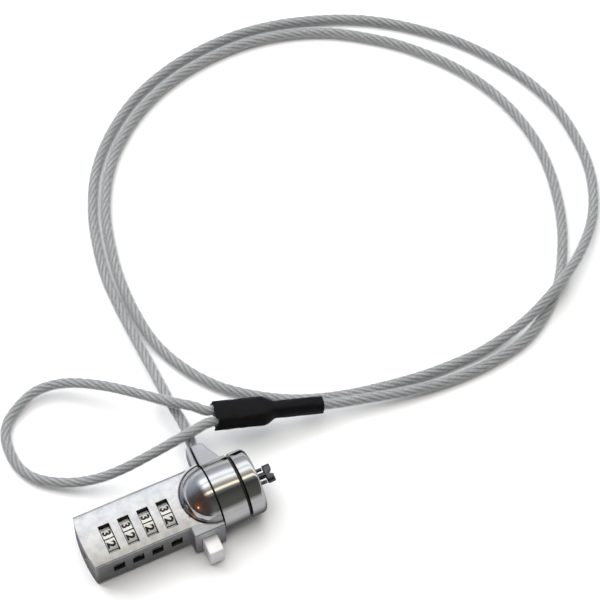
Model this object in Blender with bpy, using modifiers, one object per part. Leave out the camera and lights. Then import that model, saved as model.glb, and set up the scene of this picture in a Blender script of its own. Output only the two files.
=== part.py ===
"""Cable lock for a laptop: a four-dial combination head with a push-button T-bar, and its looped cable.

Frame: +X along the T-bar's axis towards the nose, +Z up, the button on the -Y side and the cable's lug
on the +Y side. The origin is under the middle of the lock head, on the surface that it lies on.
Lengths are in metres, written as millimetres times MM.
"""
import math

import bmesh
import bpy
from mathutils import Matrix, Vector

MM = 0.001
GAP = 0.3 * MM

# Dials: wheels with figures on their rims, side by side on the spindle
DIAL_COUNT = 4
DIAL_PITCH = 6.85 * MM
DIAL_R = 6.7 * MM
DIAL_WIDTH = 3.4 * MM
DIAL_BORE_R = 4.4 * MM
KEYWAY_DEPTH = 0.6 * MM
DIAL_STANDOUT = 0.1 * MM
DIGITS = 10
SIDE_WINDOW_HEIGHT = 5.0 * MM

# Code mechanism: a finned spindle in four hubs, each with one notch
SPINDLE_R = 1.5 * MM
SPINDLE_Y = -0.9 * MM
FIN_R = 2.9 * MM
FIN_LENGTH = 0.8 * MM
FIN_WIDTH = 1.2 * MM
WEB_LENGTH = 1.0 * MM
HUB_R = DIAL_BORE_R - GAP
HUB_BORE_R = FIN_R + GAP + 0.1 * MM
HUB_SHIFT = 0.2 * MM
HUB_LENGTH = DIAL_PITCH - FIN_LENGTH - 2 * GAP - 0.65 * MM
HUB_FRONT = HUB_LENGTH / 2 - HUB_SHIFT
HUB_REAR = HUB_LENGTH / 2 + HUB_SHIFT
SPINDLE_TRAVEL = 2 * GAP + FIN_LENGTH + WEB_LENGTH

# Walls
FLOOR = 1.5 * MM
ROOF = 1.8 * MM
COVER_TOP_Z = FLOOR - GAP
REAR_WALL = 3.3 * MM
BULKHEAD = 1.0 * MM
FRONT_WALL = 1.5 * MM
NEAR_WALL = 1.3 * MM
FAR_WALL = 5.3 * MM

# Lock head, along X from the parting plane between housing and collar
PARTING_X = 11.5 * MM
HOUSING_FRONT_X = PARTING_X - GAP
COLLAR_REAR_X = PARTING_X + GAP
WORKS_FRONT_X = PARTING_X - FRONT_WALL
WORKS_REAR_X = WORKS_FRONT_X - 11.1 * MM
BLOCK_X = WORKS_REAR_X + 1.4 * MM
DIAL_ROOM_FRONT_X = WORKS_REAR_X - BULKHEAD
LAST_DIAL_X = DIAL_ROOM_FRONT_X - HUB_FRONT - 1.5 * GAP
FIRST_DIAL_X = LAST_DIAL_X - (DIAL_COUNT - 1) * DIAL_PITCH

# Code reset at the rear: screw, plate and spring behind the first hub
RESET_TRAVEL = 0.9 * MM
RESET_RIM_R = 4.5 * MM
RESET_WEB_R = FIN_R + GAP
RESET_SPRING_X = FIRST_DIAL_X - HUB_REAR - 2 * GAP
PLATE_FRONT_X = FIRST_DIAL_X - HUB_REAR - GAP - RESET_TRAVEL
PLATE_REAR_X = PLATE_FRONT_X - 0.8 * MM
FLANGE_FRONT_X = PLATE_REAR_X - GAP
FLANGE_REAR_X = FLANGE_FRONT_X - 0.5 * MM
SPINDLE_REAR_X = FLANGE_FRONT_X - 0.2 * MM
RESET_HOLE_R = 2.65 * MM
DIAL_ROOM_REAR_X = FLANGE_REAR_X - GAP
REAR_X = DIAL_ROOM_REAR_X - REAR_WALL

# Lock head, across and up
SPINDLE_Z = FLOOR + 0.4 * MM + DIAL_R
TOP_Z = SPINDLE_Z + DIAL_R - DIAL_STANDOUT
ROOM_TOP_Z = TOP_Z - ROOF
ROOM_NEAR_Y = SPINDLE_Y - DIAL_R + 0.2 * MM
ROOM_FAR_Y = SPINDLE_Y + DIAL_R + 0.4 * MM
NEAR_Y = ROOM_NEAR_Y - NEAR_WALL
FAR_Y = ROOM_FAR_Y + FAR_WALL
BLOCK_Y = NEAR_Y - 3.6 * MM
EAR_Y = FAR_Y + 6.8 * MM
CROWN = 0.5 * MM
REAR_BOW = 0.8 * MM
WINDOW_X = DIAL_WIDTH + 2 * GAP
WINDOW_CHORD = math.sqrt(DIAL_R ** 2 - (ROOM_TOP_Z - SPINDLE_Z) ** 2)
WINDOW_Y = 2 * (WINDOW_CHORD + 0.43 * MM)

# The round part: dome, collar, ring and nose boss share one axis
ROUND_R = 11.3 * MM
AXIS_Z = ROUND_R + 0.1 * MM
DOME_WALL = 1.8 * MM
DOME_FILLET = 1.3 * MM
COLLAR_X = PARTING_X + 9.1 * MM
RING_X = COLLAR_X + 1.1 * MM
RING_FRONT_X = RING_X + 5.5 * MM
NOSE_X = RING_FRONT_X + GAP
SPIGOT_R = 4.7 * MM
JOURNAL_R = 7.0 * MM
LIP_R = 8.2 * MM
LIP_X = NOSE_X - 1.5 * MM

# T-bar and its two fixed pins
SHAFT_R = 1.1 * MM
T_LENGTH = 6.5 * MM
T_WIDTH = 2 * SHAFT_R + 0.4 * MM
T_THICK = 2.5 * MM
T_NOTCH = 1.7 * MM
TIP_X = NOSE_X + 6.0 * MM
PIN_R = 0.6 * MM
PIN_FIT = 0.1 * MM
PIN_Y = SHAFT_R + GAP + 0.25 * MM + PIN_R + PIN_FIT
PIN_X = (NOSE_X - 3.3 * MM, TIP_X - T_THICK - 0.4 * MM)

# Button, rack and pinion: a quarter turn of the T-bar takes a stroke of PITCH_R * pi / 2
PITCH_R = 2.5 * MM
TEETH = 10
TOOTH_PITCH = 2 * math.pi * PITCH_R / TEETH
STROKE = PITCH_R * math.pi / 2
TOOTH_ROOT_R = PITCH_R - 0.7 * MM
TOOTH_TIP_R = PITCH_R + 0.4 * MM
PINION_X = (WORKS_FRONT_X - 5.8 * MM, WORKS_FRONT_X - 1.8 * MM)
RACK_ROOT_Z = AXIS_Z - TOOTH_TIP_R - GAP
RACK_TIP_Z = AXIS_Z - TOOTH_ROOT_R - GAP
STEM_BASE_Z = RACK_ROOT_Z - 3.0 * MM
STEM_NEAR_Y = ROOM_NEAR_Y + 0.5 * MM
STEM_FAR_Y = 5.7 * MM
BUTTON_X = (BLOCK_X + 2.6 * MM, BLOCK_X + 7.8 * MM)
BUTTON_Y = BLOCK_Y - 6.0 * MM
BUTTON_Z = (1.5 * MM, AXIS_Z - 0.6 * MM)
CAM_PIN_X = sum(BUTTON_X) / 2 + 0.1 * MM
CAM_PIN_R = 0.7 * MM
SPRING_Z = STEM_BASE_Z - 1.7 * MM
SPRING_R = 1.0 * MM
SPRING_WIRE_R = 0.2 * MM

# Screws
COVER_SCREW_Y = ROOM_FAR_Y + 1.2 * MM
COVER_SCREW_R = 0.65 * MM
COLLAR_SCREW_R = 0.75 * MM
SCREW_CIRCLE_R = 8.0 * MM

# Cable
CABLE_R = 2.0 * MM
STOP_R = 3.0 * MM
LUG_X = PARTING_X + 1.7 * MM
LUG_HALF = 3.8 * MM
LUG_Z = TOP_Z - LUG_HALF
STOP_Y = (6.2 * MM, 10.3 * MM)
SLEEVE_START = Vector((23.8, 25.2, 14.8)) * MM
SLEEVE_END = Vector((59.7, 17.1, 7.3)) * MM
SLEEVE_FAT = 16.5 * MM
SLEEVE_TAPER = 5.0 * MM
SLEEVE_WALL = 0.65 * MM
STRAND_OFFSET = 2.15 * MM

# The cable's own route, laid by hand from the lug to the sleeve: out of the lug, down to the surface,
# an outer turn, over the inner strand at the right, an inner turn, and up into the sleeve's thin end.
MAIN_ROUTE = [
    (13.2, 10.7, 11.4), (13.2, 19, 11.4), (13.8, 28, 10.8), (13.2, 40, 8.9), (13, 54, 6.2), (12.8, 68, 3.8),
    (12.6, 82, 2.5), (13, 95, 2.1), (15.2, 108, 2.1), (19, 121, 2.1), (26, 135, 2.1), (37, 147.5, 2.1),
    (52, 158, 2.1), (70, 164.5, 2.1), (90, 166.8, 2.1), (108, 165, 2.1), (125, 160, 2.1), (140, 153, 2.1),
    (154, 143, 2.1), (168, 129, 2.1), (179, 112, 2.1), (185.8, 94, 2.1), (187.2, 77, 2.1), (185, 61, 2.2),
    (178, 46, 3.2), (167, 34, 5.4), (154, 25, 6.8), (138, 18, 5.2), (122, 15, 2.6), (108, 14.4, 2.1),
    (92, 15.4, 2.1), (71, 19, 2.1), (55, 24.2, 2.1), (43, 31, 2.1), (32, 40, 2.1), (24, 51, 2.1),
    (18.6, 64, 2.1), (16.8, 78, 2.1), (17.2, 93, 2.1), (19.6, 107, 2.1), (23.3, 119.6, 2.1), (30, 132.6, 2.1),
    (40, 144, 2.1), (54.4, 154, 2.1), (71.2, 160, 2.1), (90, 162.2, 2.1), (107, 160.4, 2.1), (123, 155, 2.1),
    (136, 147, 2.1), (149, 136, 2.1), (161, 121, 2.1), (169, 105, 2.1), (173, 88, 2.1), (173, 72, 2.1),
    (169, 54, 2.1), (162, 38, 2.1), (152, 24, 2.1), (137, 13.5, 2.1), (121, 9.8, 2.1), (105, 9.3, 2.2),
    (90, 10.9, 3.4), (75, 13.8, 5.2),
]
EYE_ROUTE = [
    (18.4, 31.2, 15.9), (12, 36.2, 15.4), (4, 44, 13.8), (-4, 52, 11), (-12.4, 58.8, 8), (-19.5, 62.6, 5.5),
    (-26.5, 63.5, 4), (-33.2, 61.3, 2.9), (-38.4, 57.9, 2.2), (-41.2, 53.5, 2.1), (-42.2, 47.9, 2.1),
    (-41.5, 40.8, 2.1), (-38.3, 35, 2.4), (-32.9, 30.4, 3.2), (-26.3, 26.6, 4.6), (-19, 24, 6.6),
    (-11, 22.6, 9.2), (0, 22, 13), (8.8, 22.2, 15.2), (15, 22.6, 16),
]


# ---------------------------------------------------------------- helpers

def start_scene():
    for thing in list(bpy.data.objects):
        bpy.data.objects.remove(thing, do_unlink=True)
    parts = bpy.data.collections.new("laptop_cable_lock")
    cutters = bpy.data.collections.new("cutters")
    for group in (parts, cutters):
        bpy.context.scene.collection.children.link(group)
    return parts, cutters


PARTS, CUTTERS = start_scene()


def material(name, colour, roughness, metallic):
    surface = bpy.data.materials.new(name)
    surface.use_nodes = True
    shader = surface.node_tree.nodes["Principled BSDF"]
    shader.inputs["Base Color"].default_value = (*colour, 1)
    shader.inputs["Roughness"].default_value = roughness
    shader.inputs["Metallic"].default_value = metallic
    return surface


CHROME = material("satin chrome", (0.72, 0.72, 0.71), 0.25, 1)
MIRROR = material("bright chrome", (0.80, 0.79, 0.77), 0.06, 1)
STEEL = material("dark steel", (0.22, 0.22, 0.24), 0.30, 1)
BRIGHT = material("spring steel", (0.60, 0.60, 0.62), 0.30, 1)
BRASS = material("brass", (0.66, 0.45, 0.18), 0.30, 1)
DIAL_METAL = material("dial face", (0.74, 0.72, 0.66), 0.35, 1)
BLACK = material("black plastic", (0.02, 0.02, 0.02), 0.50, 0)
SHRINK = material("black heat-shrink", (0.02, 0.02, 0.02), 0.45, 0)
ROPE = material("coated wire rope", (0.55, 0.55, 0.56), 0.30, 0)
ALLOY = material("ferrule alloy", (0.62, 0.62, 0.63), 0.35, 1)


def add_mesh(name, shape, group):
    mesh = bpy.data.meshes.new(name)
    shape.to_mesh(mesh)
    shape.free()
    item = bpy.data.objects.new(name, mesh)
    group.objects.link(item)
    return item


def finish(item, surface, smooth=False):
    item.data.materials.clear()
    item.data.materials.append(surface)
    if smooth:
        item.data.shade_smooth()
        item.data.set_sharp_from_angle(angle=math.radians(35))
    return item


def box(name, x, y, z, group=None):
    shape = bmesh.new()
    bmesh.ops.create_cube(shape, size=1)
    size = Vector((x[1] - x[0], y[1] - y[0], z[1] - z[0]))
    middle = Vector((x[0] + x[1], y[0] + y[1], z[0] + z[1])) / 2
    bmesh.ops.scale(shape, vec=size, verts=shape.verts)
    bmesh.ops.translate(shape, vec=middle, verts=shape.verts)
    return add_mesh(name, shape, group or CUTTERS)


def along(axis):
    turns = {"X": Matrix.Rotation(math.pi / 2, 4, "Y"), "Y": Matrix.Rotation(-math.pi / 2, 4, "X")}
    return turns.get(axis, Matrix.Identity(4))


def cylinder(name, axis, centre, radius, start, end, sides=32, group=None):
    """A round bar along an axis; centre gives the other two coordinates in X, Y, Z order."""
    shape = bmesh.new()
    bmesh.ops.create_cone(shape, cap_ends=True, segments=sides, radius1=radius, radius2=radius,
                          depth=end - start)
    place = list(centre)
    place.insert("XYZ".index(axis), (start + end) / 2)
    bmesh.ops.transform(shape, matrix=Matrix.Translation(place) @ along(axis), verts=shape.verts)
    return add_mesh(name, shape, group or CUTTERS)


def turned(name, profile, centre, group=None, sides=48, closed=False, axis="X"):
    """A Screw about the given axis. The profile is (radius, station), running down its outer side."""
    shape = bmesh.new()
    points = [shape.verts.new((radius, 0, station)) for radius, station in profile]
    for first, second in zip(points, points[1:]):
        shape.edges.new((first, second))
    if closed:
        shape.edges.new((points[-1], points[0]))
    item = add_mesh(name, shape, group or CUTTERS)
    item.matrix_world = Matrix.Translation(centre) @ along(axis)
    screw = item.modifiers.new("turn", "SCREW")
    screw.steps = sides
    screw.render_steps = sides
    screw.use_merge_vertices = True
    screw.merge_threshold = 0.00001
    return item


def outline(name, loops, plane, start, end, group=None):
    """A flat outline in the given plane, extruded between two stations along the plane's normal."""
    data = bpy.data.curves.new(name, "CURVE")
    data.dimensions = "2D"
    data.fill_mode = "BOTH"
    data.extrude = (end - start) / 2
    for loop in loops:
        spline = data.splines.new("POLY")
        spline.points.add(len(loop) - 1)
        for point, (across, up) in zip(spline.points, loop):
            point.co = (across, up, 0, 1)
        spline.use_cyclic_u = True
    flat = bpy.data.objects.new(name + " outline", data)
    CUTTERS.objects.link(flat)
    middle = (start + end) / 2
    frames = {
        "XY": Matrix.Translation((0, 0, middle)),
        "YZ": Matrix(((0, 0, 1, middle), (1, 0, 0, 0), (0, 1, 0, 0), (0, 0, 0, 1))),
        "XZ": Matrix(((1, 0, 0, 0), (0, 0, -1, middle), (0, 1, 0, 0), (0, 0, 0, 1))),
    }
    return as_mesh(flat, name, frames[plane], group)


def as_mesh(source, name, place, group=None):
    """Turns a curve object into a closed mesh object and removes the curve."""
    bpy.context.view_layer.update()
    evaluated = source.evaluated_get(bpy.context.evaluated_depsgraph_get())
    mesh = bpy.data.meshes.new_from_object(evaluated)
    shape = bmesh.new()
    shape.from_mesh(mesh)
    bmesh.ops.remove_doubles(shape, verts=shape.verts, dist=0.000001)
    bmesh.ops.recalc_face_normals(shape, faces=shape.faces)
    shape.to_mesh(mesh)
    shape.free()
    mesh.name = name
    item = bpy.data.objects.new(name, mesh)
    item.matrix_world = place
    (group or CUTTERS).objects.link(item)
    bpy.data.objects.remove(source, do_unlink=True)
    return item


def boolean(item, other, operation):
    step = item.modifiers.new(operation.lower() + " " + other.name, "BOOLEAN")
    step.object = other
    step.operation = operation
    step.solver = "EXACT"
    other.hide_render = True
    other.display_type = "WIRE"


def cut(item, *others):
    for other in others:
        boolean(item, other, "DIFFERENCE")


def join(item, *others):
    for other in others:
        boolean(item, other, "UNION")


def bevel(item, width, segments=2, angle=40):
    step = item.modifiers.new("rounded edges", "BEVEL")
    step.width = width
    step.segments = segments
    step.limit_method = "ANGLE"
    step.angle_limit = math.radians(angle)


def arc(centre, radius, start, end, steps):
    """Points on a circle, from one angle to another in degrees."""
    angles = [math.radians(start + (end - start) * i / steps) for i in range(steps + 1)]
    return [(centre[0] + radius * math.cos(a), centre[1] + radius * math.sin(a)) for a in angles]


def smooth_route(points, count):
    """Points on a Catmull-Rom curve through the route's own points."""
    route = [Vector(p) for p in points]
    spans = len(route) - 1
    route = [2 * route[0] - route[1]] + route + [2 * route[-1] - route[-2]]
    smooth = []
    for k in range(count):
        place = k * spans / (count - 1)
        span = min(int(place), spans - 1)
        t = place - span
        before, start, end, after = route[span:span + 4]
        smooth.append(0.5 * (2 * start + (end - before) * t
                             + (2 * before - 5 * start + 4 * end - after) * t * t
                             + (3 * start - before - 3 * end + after) * t ** 3))
    return smooth


def wire(name, points, radius, surface):
    data = bpy.data.curves.new(name, "CURVE")
    data.dimensions = "3D"
    data.bevel_depth = radius
    data.bevel_resolution = 2
    data.use_fill_caps = True
    spline = data.splines.new("POLY")
    spline.points.add(len(points) - 1)
    for point, place in zip(spline.points, points):
        point.co = (*place, 1)
    data.materials.append(surface)
    item = bpy.data.objects.new(name, data)
    PARTS.objects.link(item)
    return item


def pivot(name, place, *items):
    """An empty on a joint's axis, which carries the pieces that move with it."""
    empty = bpy.data.objects.new(name, None)
    empty.location = place
    PARTS.objects.link(empty)
    for item in items:
        item.parent = empty
        item.matrix_parent_inverse = Matrix.Translation(place).inverted()


def dial_x(index):
    return FIRST_DIAL_X + index * DIAL_PITCH


# ---------------------------------------------------------------- housing

def body_section():
    """The body's outline in Y and Z: flat sides, round lower edges and a gently crowned top."""
    low = 2.5 * MM
    far = 1.8 * MM
    near = 0.5 * MM
    middle = (NEAR_Y + FAR_Y) / 2
    half = (FAR_Y - NEAR_Y) / 2
    points = arc((NEAR_Y + low, low), low, 270, 180, 5)
    points += arc((NEAR_Y + near, TOP_Z - near), near, 180, 90, 2)
    for share in (-0.6, -0.3, 0, 0.3, 0.6):
        points.append((middle + share * half, TOP_Z + CROWN * (1 - share * share)))
    points += arc((FAR_Y - far, TOP_Z - far), far, 90, 0, 4)
    points += arc((FAR_Y - low, low), low, 0, -90, 5)
    return points


def body_plan():
    """The body seen from above: a slightly bowed rear end with round corners."""
    corner = 1.0 * MM
    margin = 1 * MM
    front = HOUSING_FRONT_X + 2 * margin
    middle = (NEAR_Y + FAR_Y) / 2
    half = (FAR_Y - NEAR_Y) / 2 - corner
    rear = REAR_X + REAR_BOW
    points = [(front, NEAR_Y - margin), (front, FAR_Y + margin)]
    points += [(rear + corner, FAR_Y + margin)]
    points += arc((rear + corner, FAR_Y - corner), corner, 90, 172, 5)
    for share in (0.6, 0.3, 0, -0.3, -0.6):
        points.append((REAR_X + REAR_BOW * share * share, middle + share * half))
    points += arc((rear + corner, NEAR_Y + corner), corner, 188, 270, 5)
    points += [(rear + corner, NEAR_Y - margin)]
    return points


def fillet_ring():
    """The concave ring that blends the dome into the flat plate, turned about the upright axis."""
    rise = TOP_Z + DOME_FILLET - AXIS_Z
    reach = math.sqrt((ROUND_R + DOME_FILLET) ** 2 - rise ** 2)
    touch = math.degrees(math.atan2(-rise, -reach))
    curve = arc((reach, TOP_Z + DOME_FILLET), DOME_FILLET, 360 + touch, 270, 6)
    sink = 0.5 * MM
    inner = curve[0][0] - sink
    profile = [(inner, curve[0][1] - 0.2 * MM)] + curve + [(reach, TOP_Z - sink), (inner, TOP_Z - sink)]
    return turned("dome fillet", profile, (PARTING_X, 0, 0), closed=True, axis="Z")


def ear(name, tip, base, flat, round_r):
    """Half of the cable's lug, seen from above; the two halves meet at the parting plane."""
    side = 1 if tip > flat else -1
    root = FAR_Y - 3.5 * MM
    turn = 90 - 90 * side
    points = [(flat, root), (flat, EAR_Y)]
    points += arc((tip - side * round_r, EAR_Y - round_r), round_r, 90, turn, 6)
    points += [(base, FAR_Y - 0.5 * MM), (base, root)]
    return outline(name, [points], "XY", LUG_Z - LUG_HALF, TOP_Z)


def make_housing():
    housing = outline("housing", [body_section()], "YZ", REAR_X - 1 * MM, HOUSING_FRONT_X + 1 * MM, PARTS)
    boolean(housing, outline("rear plan", [body_plan()], "XY", -1 * MM, TOP_Z + 5 * MM), "INTERSECT")
    bevel(housing, 0.45 * MM, 2, 50)
    block = box("block", (BLOCK_X, HOUSING_FRONT_X + 1 * MM), (BLOCK_Y, NEAR_Y + 2 * MM),
                (0.9 * MM, TOP_Z))
    bevel(block, 0.5 * MM)
    quarter = arc((0, 0), ROUND_R, 0, 90, 12)
    dome_profile = [(0, 1 * MM), (ROUND_R, 1 * MM)] + [(r, -z) for r, z in quarter[:-1]] + [(0, -ROUND_R)]
    dome = turned("dome", dome_profile, (PARTING_X, 0, AXIS_Z))
    join(housing, block, dome, fillet_ring(),
         ear("rear lug half", PARTING_X - 1.4 * MM, PARTING_X - 1.9 * MM, PARTING_X + 1 * MM, 0.8 * MM))
    inner_r = ROUND_R - DOME_WALL
    hollow_arc = [(r, -z) for r, z in arc((0, 0), inner_r, 9, 90, 9)[:-1]]
    hollow_profile = [(0, -FRONT_WALL)] + hollow_arc + [(0, -inner_r)]
    cavity = (FLOOR, ROOM_TOP_Z)
    seat_y = (ROOM_NEAR_Y + 1.2 * MM, COVER_SCREW_Y + 1.6 * MM)
    slot = (BUTTON_X[0] - 0.4 * MM, BUTTON_X[1] + 0.4 * MM)
    cut(housing,
        box("front face", (HOUSING_FRONT_X, 40 * MM), (-30 * MM, 40 * MM), (-5 * MM, 40 * MM)),
        turned("dome hollow", hollow_profile, (PARTING_X, 0, AXIS_Z), sides=32),
        box("dial room", (DIAL_ROOM_REAR_X, DIAL_ROOM_FRONT_X), (ROOM_NEAR_Y, ROOM_FAR_Y), cavity),
        box("works room", (WORKS_REAR_X, WORKS_FRONT_X), (ROOM_NEAR_Y + 0.2 * MM, STOP_Y[1] - GAP), cavity),
        box("cover seat", (DIAL_ROOM_REAR_X + 0.4 * MM, WORKS_FRONT_X - 1 * MM), seat_y,
            (-1 * MM, FLOOR + 0.1 * MM)),
        box("button slot", slot, (BLOCK_Y - 2 * MM, ROOM_NEAR_Y + 0.4 * MM),
            (BUTTON_Z[0] - 0.4 * MM, BUTTON_Z[1] + 0.4 * MM)),
        box("detent seat", (DIAL_ROOM_REAR_X + 1 * MM, DIAL_ROOM_FRONT_X - 0.9 * MM),
            (ROOM_FAR_Y - 0.2 * MM, ROOM_FAR_Y + 1 * MM), (SPINDLE_Z - 3.4 * MM, SPINDLE_Z + 3.6 * MM)),
        cylinder("spindle hole", "X", (SPINDLE_Y, SPINDLE_Z), SPINDLE_R + GAP, DIAL_ROOM_FRONT_X - 1 * MM,
                 WORKS_REAR_X + 1 * MM),
        cylinder("reset hole", "X", (SPINDLE_Y, SPINDLE_Z), RESET_HOLE_R, REAR_X - 3 * MM,
                 DIAL_ROOM_REAR_X + 1 * MM),
        cylinder("shaft hole", "X", (0, AXIS_Z), SHAFT_R + GAP, WORKS_FRONT_X - 1 * MM, PARTING_X + 2 * MM),
        cylinder("stop room", "Y", (LUG_X, LUG_Z), STOP_R + GAP, STOP_Y[0] - GAP, STOP_Y[1] + GAP),
        cylinder("cable hole", "Y", (LUG_X, LUG_Z), CABLE_R + GAP, STOP_Y[1], EAR_Y + 2 * MM))
    for place in collar_screw_places():
        cut(housing, cylinder("collar tapping", "X", place, COLLAR_SCREW_R + 0.15 * MM,
                              WORKS_FRONT_X - 1 * MM, PARTING_X + 2 * MM, 16))
    for x in cover_screw_places():
        cut(housing, cylinder("cover tapping", "Z", (x, COVER_SCREW_Y), COVER_SCREW_R + 0.15 * MM,
                              FLOOR - 0.5 * MM, FLOOR + 3.7 * MM, 16))
    side_z = (SPINDLE_Z - SIDE_WINDOW_HEIGHT / 2, SPINDLE_Z + SIDE_WINDOW_HEIGHT / 2)
    for index in range(DIAL_COUNT):
        across = (dial_x(index) - WINDOW_X / 2, dial_x(index) + WINDOW_X / 2)
        cut(housing,
            box("top window", across, (SPINDLE_Y - WINDOW_Y / 2, SPINDLE_Y + WINDOW_Y / 2),
                (ROOM_TOP_Z - 0.4 * MM, TOP_Z + 5 * MM)),
            box("side window", across, (NEAR_Y - 1 * MM, ROOM_NEAR_Y + 0.4 * MM), side_z))
    return finish(housing, CHROME, True)


def cover_screw_places():
    return (DIAL_ROOM_REAR_X + 3 * MM, (DIAL_ROOM_REAR_X + WORKS_REAR_X) / 2, WORKS_REAR_X - 0.5 * MM)


def collar_screw_places():
    angles = (math.radians(115), math.radians(245))
    return [(SCREW_CIRCLE_R * math.cos(a), AXIS_Z + SCREW_CIRCLE_R * math.sin(a)) for a in angles]


def make_base_cover():
    """The plate under the works, with the rib that the spring pushes on and two rails for the stem."""
    across = (ROOM_NEAR_Y + 1.5 * MM, COVER_SCREW_Y + 1.3 * MM)
    cover = box("base_cover", (DIAL_ROOM_REAR_X + 0.7 * MM, WORKS_FRONT_X - 1.3 * MM), across,
                (0.1 * MM, COVER_TOP_Z), PARTS)
    rib_z = (0.5 * MM, STEM_BASE_Z - GAP)
    join(cover, box("spring rib", (BUTTON_X[0] + GAP, BUTTON_X[1] - 0.1 * MM), (-4.3 * MM, -3.1 * MM), rib_z))
    for x in (WORKS_FRONT_X - 6.0 * MM, WORKS_FRONT_X - 2.6 * MM):
        join(cover, box("stem rail", (x, x + 1.0 * MM), (SPINDLE_Y + 2.5 * MM, across[1] - GAP), rib_z))
    for x in cover_screw_places():
        place = (x, COVER_SCREW_Y)
        cut(cover,
            cylinder("cover hole", "Z", place, COVER_SCREW_R + 0.25 * MM, -1 * MM, 3 * MM, 16),
            cylinder("cover sink", "Z", place, COVER_SCREW_R + 0.65 * MM, -1 * MM, 0.7 * MM, 16))
    return finish(cover, CHROME)


def screw(name, axis, place, radii, head, shank):
    """A pan-head screw: radii are (head, shank), and head and shank are (start, end) stations."""
    item = cylinder(name, axis, place, radii[0], head[0], head[1], 20, PARTS)
    join(item, cylinder(name + " shank", axis, place, radii[1], shank[0], shank[1], 16))
    outer = head[0] if head[0] < shank[0] else head[1]
    deep = (outer - GAP, outer + GAP)
    long, thin = radii[0] * 0.65, 0.17 * MM
    for half_a, half_b in ((thin, long), (long, thin)):
        first = (place[0] - half_a, place[0] + half_a)
        second = (place[1] - half_b, place[1] + half_b)
        sides = (deep, first, second) if axis == "X" else (first, second, deep)
        cut(item, box(name + " slot", *sides))
    return finish(item, STEEL)


def make_screws():
    radii = (COVER_SCREW_R + 0.45 * MM, COVER_SCREW_R)
    for number, x in enumerate(cover_screw_places(), start=1):
        screw(f"cover_screw_{number}", "Z", (x, COVER_SCREW_Y), radii, (0.15 * MM, 0.6 * MM),
              (0.4 * MM, FLOOR + 3.3 * MM))
    radii = (COLLAR_SCREW_R + 0.95 * MM, COLLAR_SCREW_R)
    for number, place in enumerate(collar_screw_places(), start=1):
        screw(f"collar_screw_{number}", "X", place, radii, (COLLAR_X - 1.9 * MM, COLLAR_X - 0.4 * MM),
              (WORKS_FRONT_X + 0.1 * MM, COLLAR_X - 1.6 * MM))


# ---------------------------------------------------------------- nose

def make_front_collar():
    edge = 0.4 * MM
    bore = SPIGOT_R + GAP
    rebate = ROUND_R - 0.9 * MM
    profile = [(bore, COLLAR_X), (ROUND_R - edge, COLLAR_X), (ROUND_R, COLLAR_X - edge),
               (ROUND_R, COLLAR_REAR_X + edge), (ROUND_R - edge, COLLAR_REAR_X),
               (rebate, COLLAR_REAR_X), (rebate, PARTING_X), (bore, PARTING_X)]
    collar = turned("front_collar", profile, (0, 0, AXIS_Z), PARTS, 64, closed=True)
    lug = ear("front lug half", PARTING_X + 5.1 * MM, PARTING_X + 7.8 * MM, COLLAR_REAR_X, 2.2 * MM)
    cut(lug, cylinder("lug clearance", "X", (0, AXIS_Z), ROUND_R - 3.3 * MM, PARTING_X - 1 * MM,
                      COLLAR_X + 1 * MM, 64))
    join(collar, lug)
    cut(collar,
        cylinder("collar stop room", "Y", (LUG_X, LUG_Z), STOP_R + GAP, STOP_Y[0] - GAP, STOP_Y[1] + GAP),
        cylinder("collar cable hole", "Y", (LUG_X, LUG_Z), CABLE_R + GAP, STOP_Y[1], EAR_Y + 2 * MM))
    for place in collar_screw_places():
        cut(collar,
            cylinder("collar hole", "X", place, COLLAR_SCREW_R + 0.25 * MM, PARTING_X - 1 * MM,
                     COLLAR_X + 1 * MM, 16),
            cylinder("collar sink", "X", place, COLLAR_SCREW_R + 1.25 * MM, COLLAR_X - 2.2 * MM,
                     COLLAR_X + 1 * MM, 20))
    return finish(collar, MIRROR, True)


def make_nose_boss():
    bore = SHAFT_R + GAP
    edge = 0.3 * MM
    rear = PARTING_X + 0.7 * MM
    profile = [(bore, NOSE_X), (LIP_R - edge, NOSE_X), (LIP_R, NOSE_X - edge), (LIP_R, LIP_X),
               (JOURNAL_R, LIP_X), (JOURNAL_R, RING_X), (SPIGOT_R, RING_X), (SPIGOT_R, rear), (bore, rear)]
    boss = turned("nose_boss", profile, (0, 0, AXIS_Z), PARTS, 48, closed=True)
    for side in (-1, 1):
        cut(boss, cylinder("pin socket", "X", (side * PIN_Y, AXIS_Z), PIN_R + PIN_FIT, PIN_X[0] - 0.2 * MM,
                           NOSE_X + 1 * MM, 16))
    return finish(boss, STEEL, True)


def make_pins():
    for number, side in enumerate((-1, 1), start=1):
        pin = cylinder(f"anti_rotation_pin_{number}", "X", (side * PIN_Y, AXIS_Z), PIN_R, *PIN_X, 16, PARTS)
        finish(pin, STEEL, True)


def make_nose_ring():
    """The loose outer ring, whose round front edge hides the boss's lip."""
    round_r = 1.6 * MM
    rear = RING_X + 0.02 * MM
    step = LIP_X - GAP
    profile = [(LIP_R + GAP, step), (LIP_R + GAP, RING_FRONT_X)]
    profile += arc((ROUND_R - round_r, RING_FRONT_X - round_r), round_r, 90, 0, 5)
    profile += [(ROUND_R, RING_X + 0.6 * MM), (ROUND_R - 0.6 * MM, rear), (JOURNAL_R + GAP, rear),
                (JOURNAL_R + GAP, step)]
    ring = turned("nose_ring", profile, (0, 0, AXIS_Z), PARTS, 64, closed=True)
    pivot("nose_ring_axis", (RING_X, 0, AXIS_Z), ring)
    return finish(ring, MIRROR, True)


def make_groove_washer():
    inner, outer = SPIGOT_R + GAP, ROUND_R - 0.9 * MM
    front, rear = RING_X - GAP, COLLAR_X + GAP
    profile = [(inner, front), (outer, front), (outer, rear), (inner, rear)]
    washer = turned("groove_washer", profile, (0, 0, AXIS_Z), PARTS, 48, closed=True)
    return finish(washer, BLACK, True)


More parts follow.
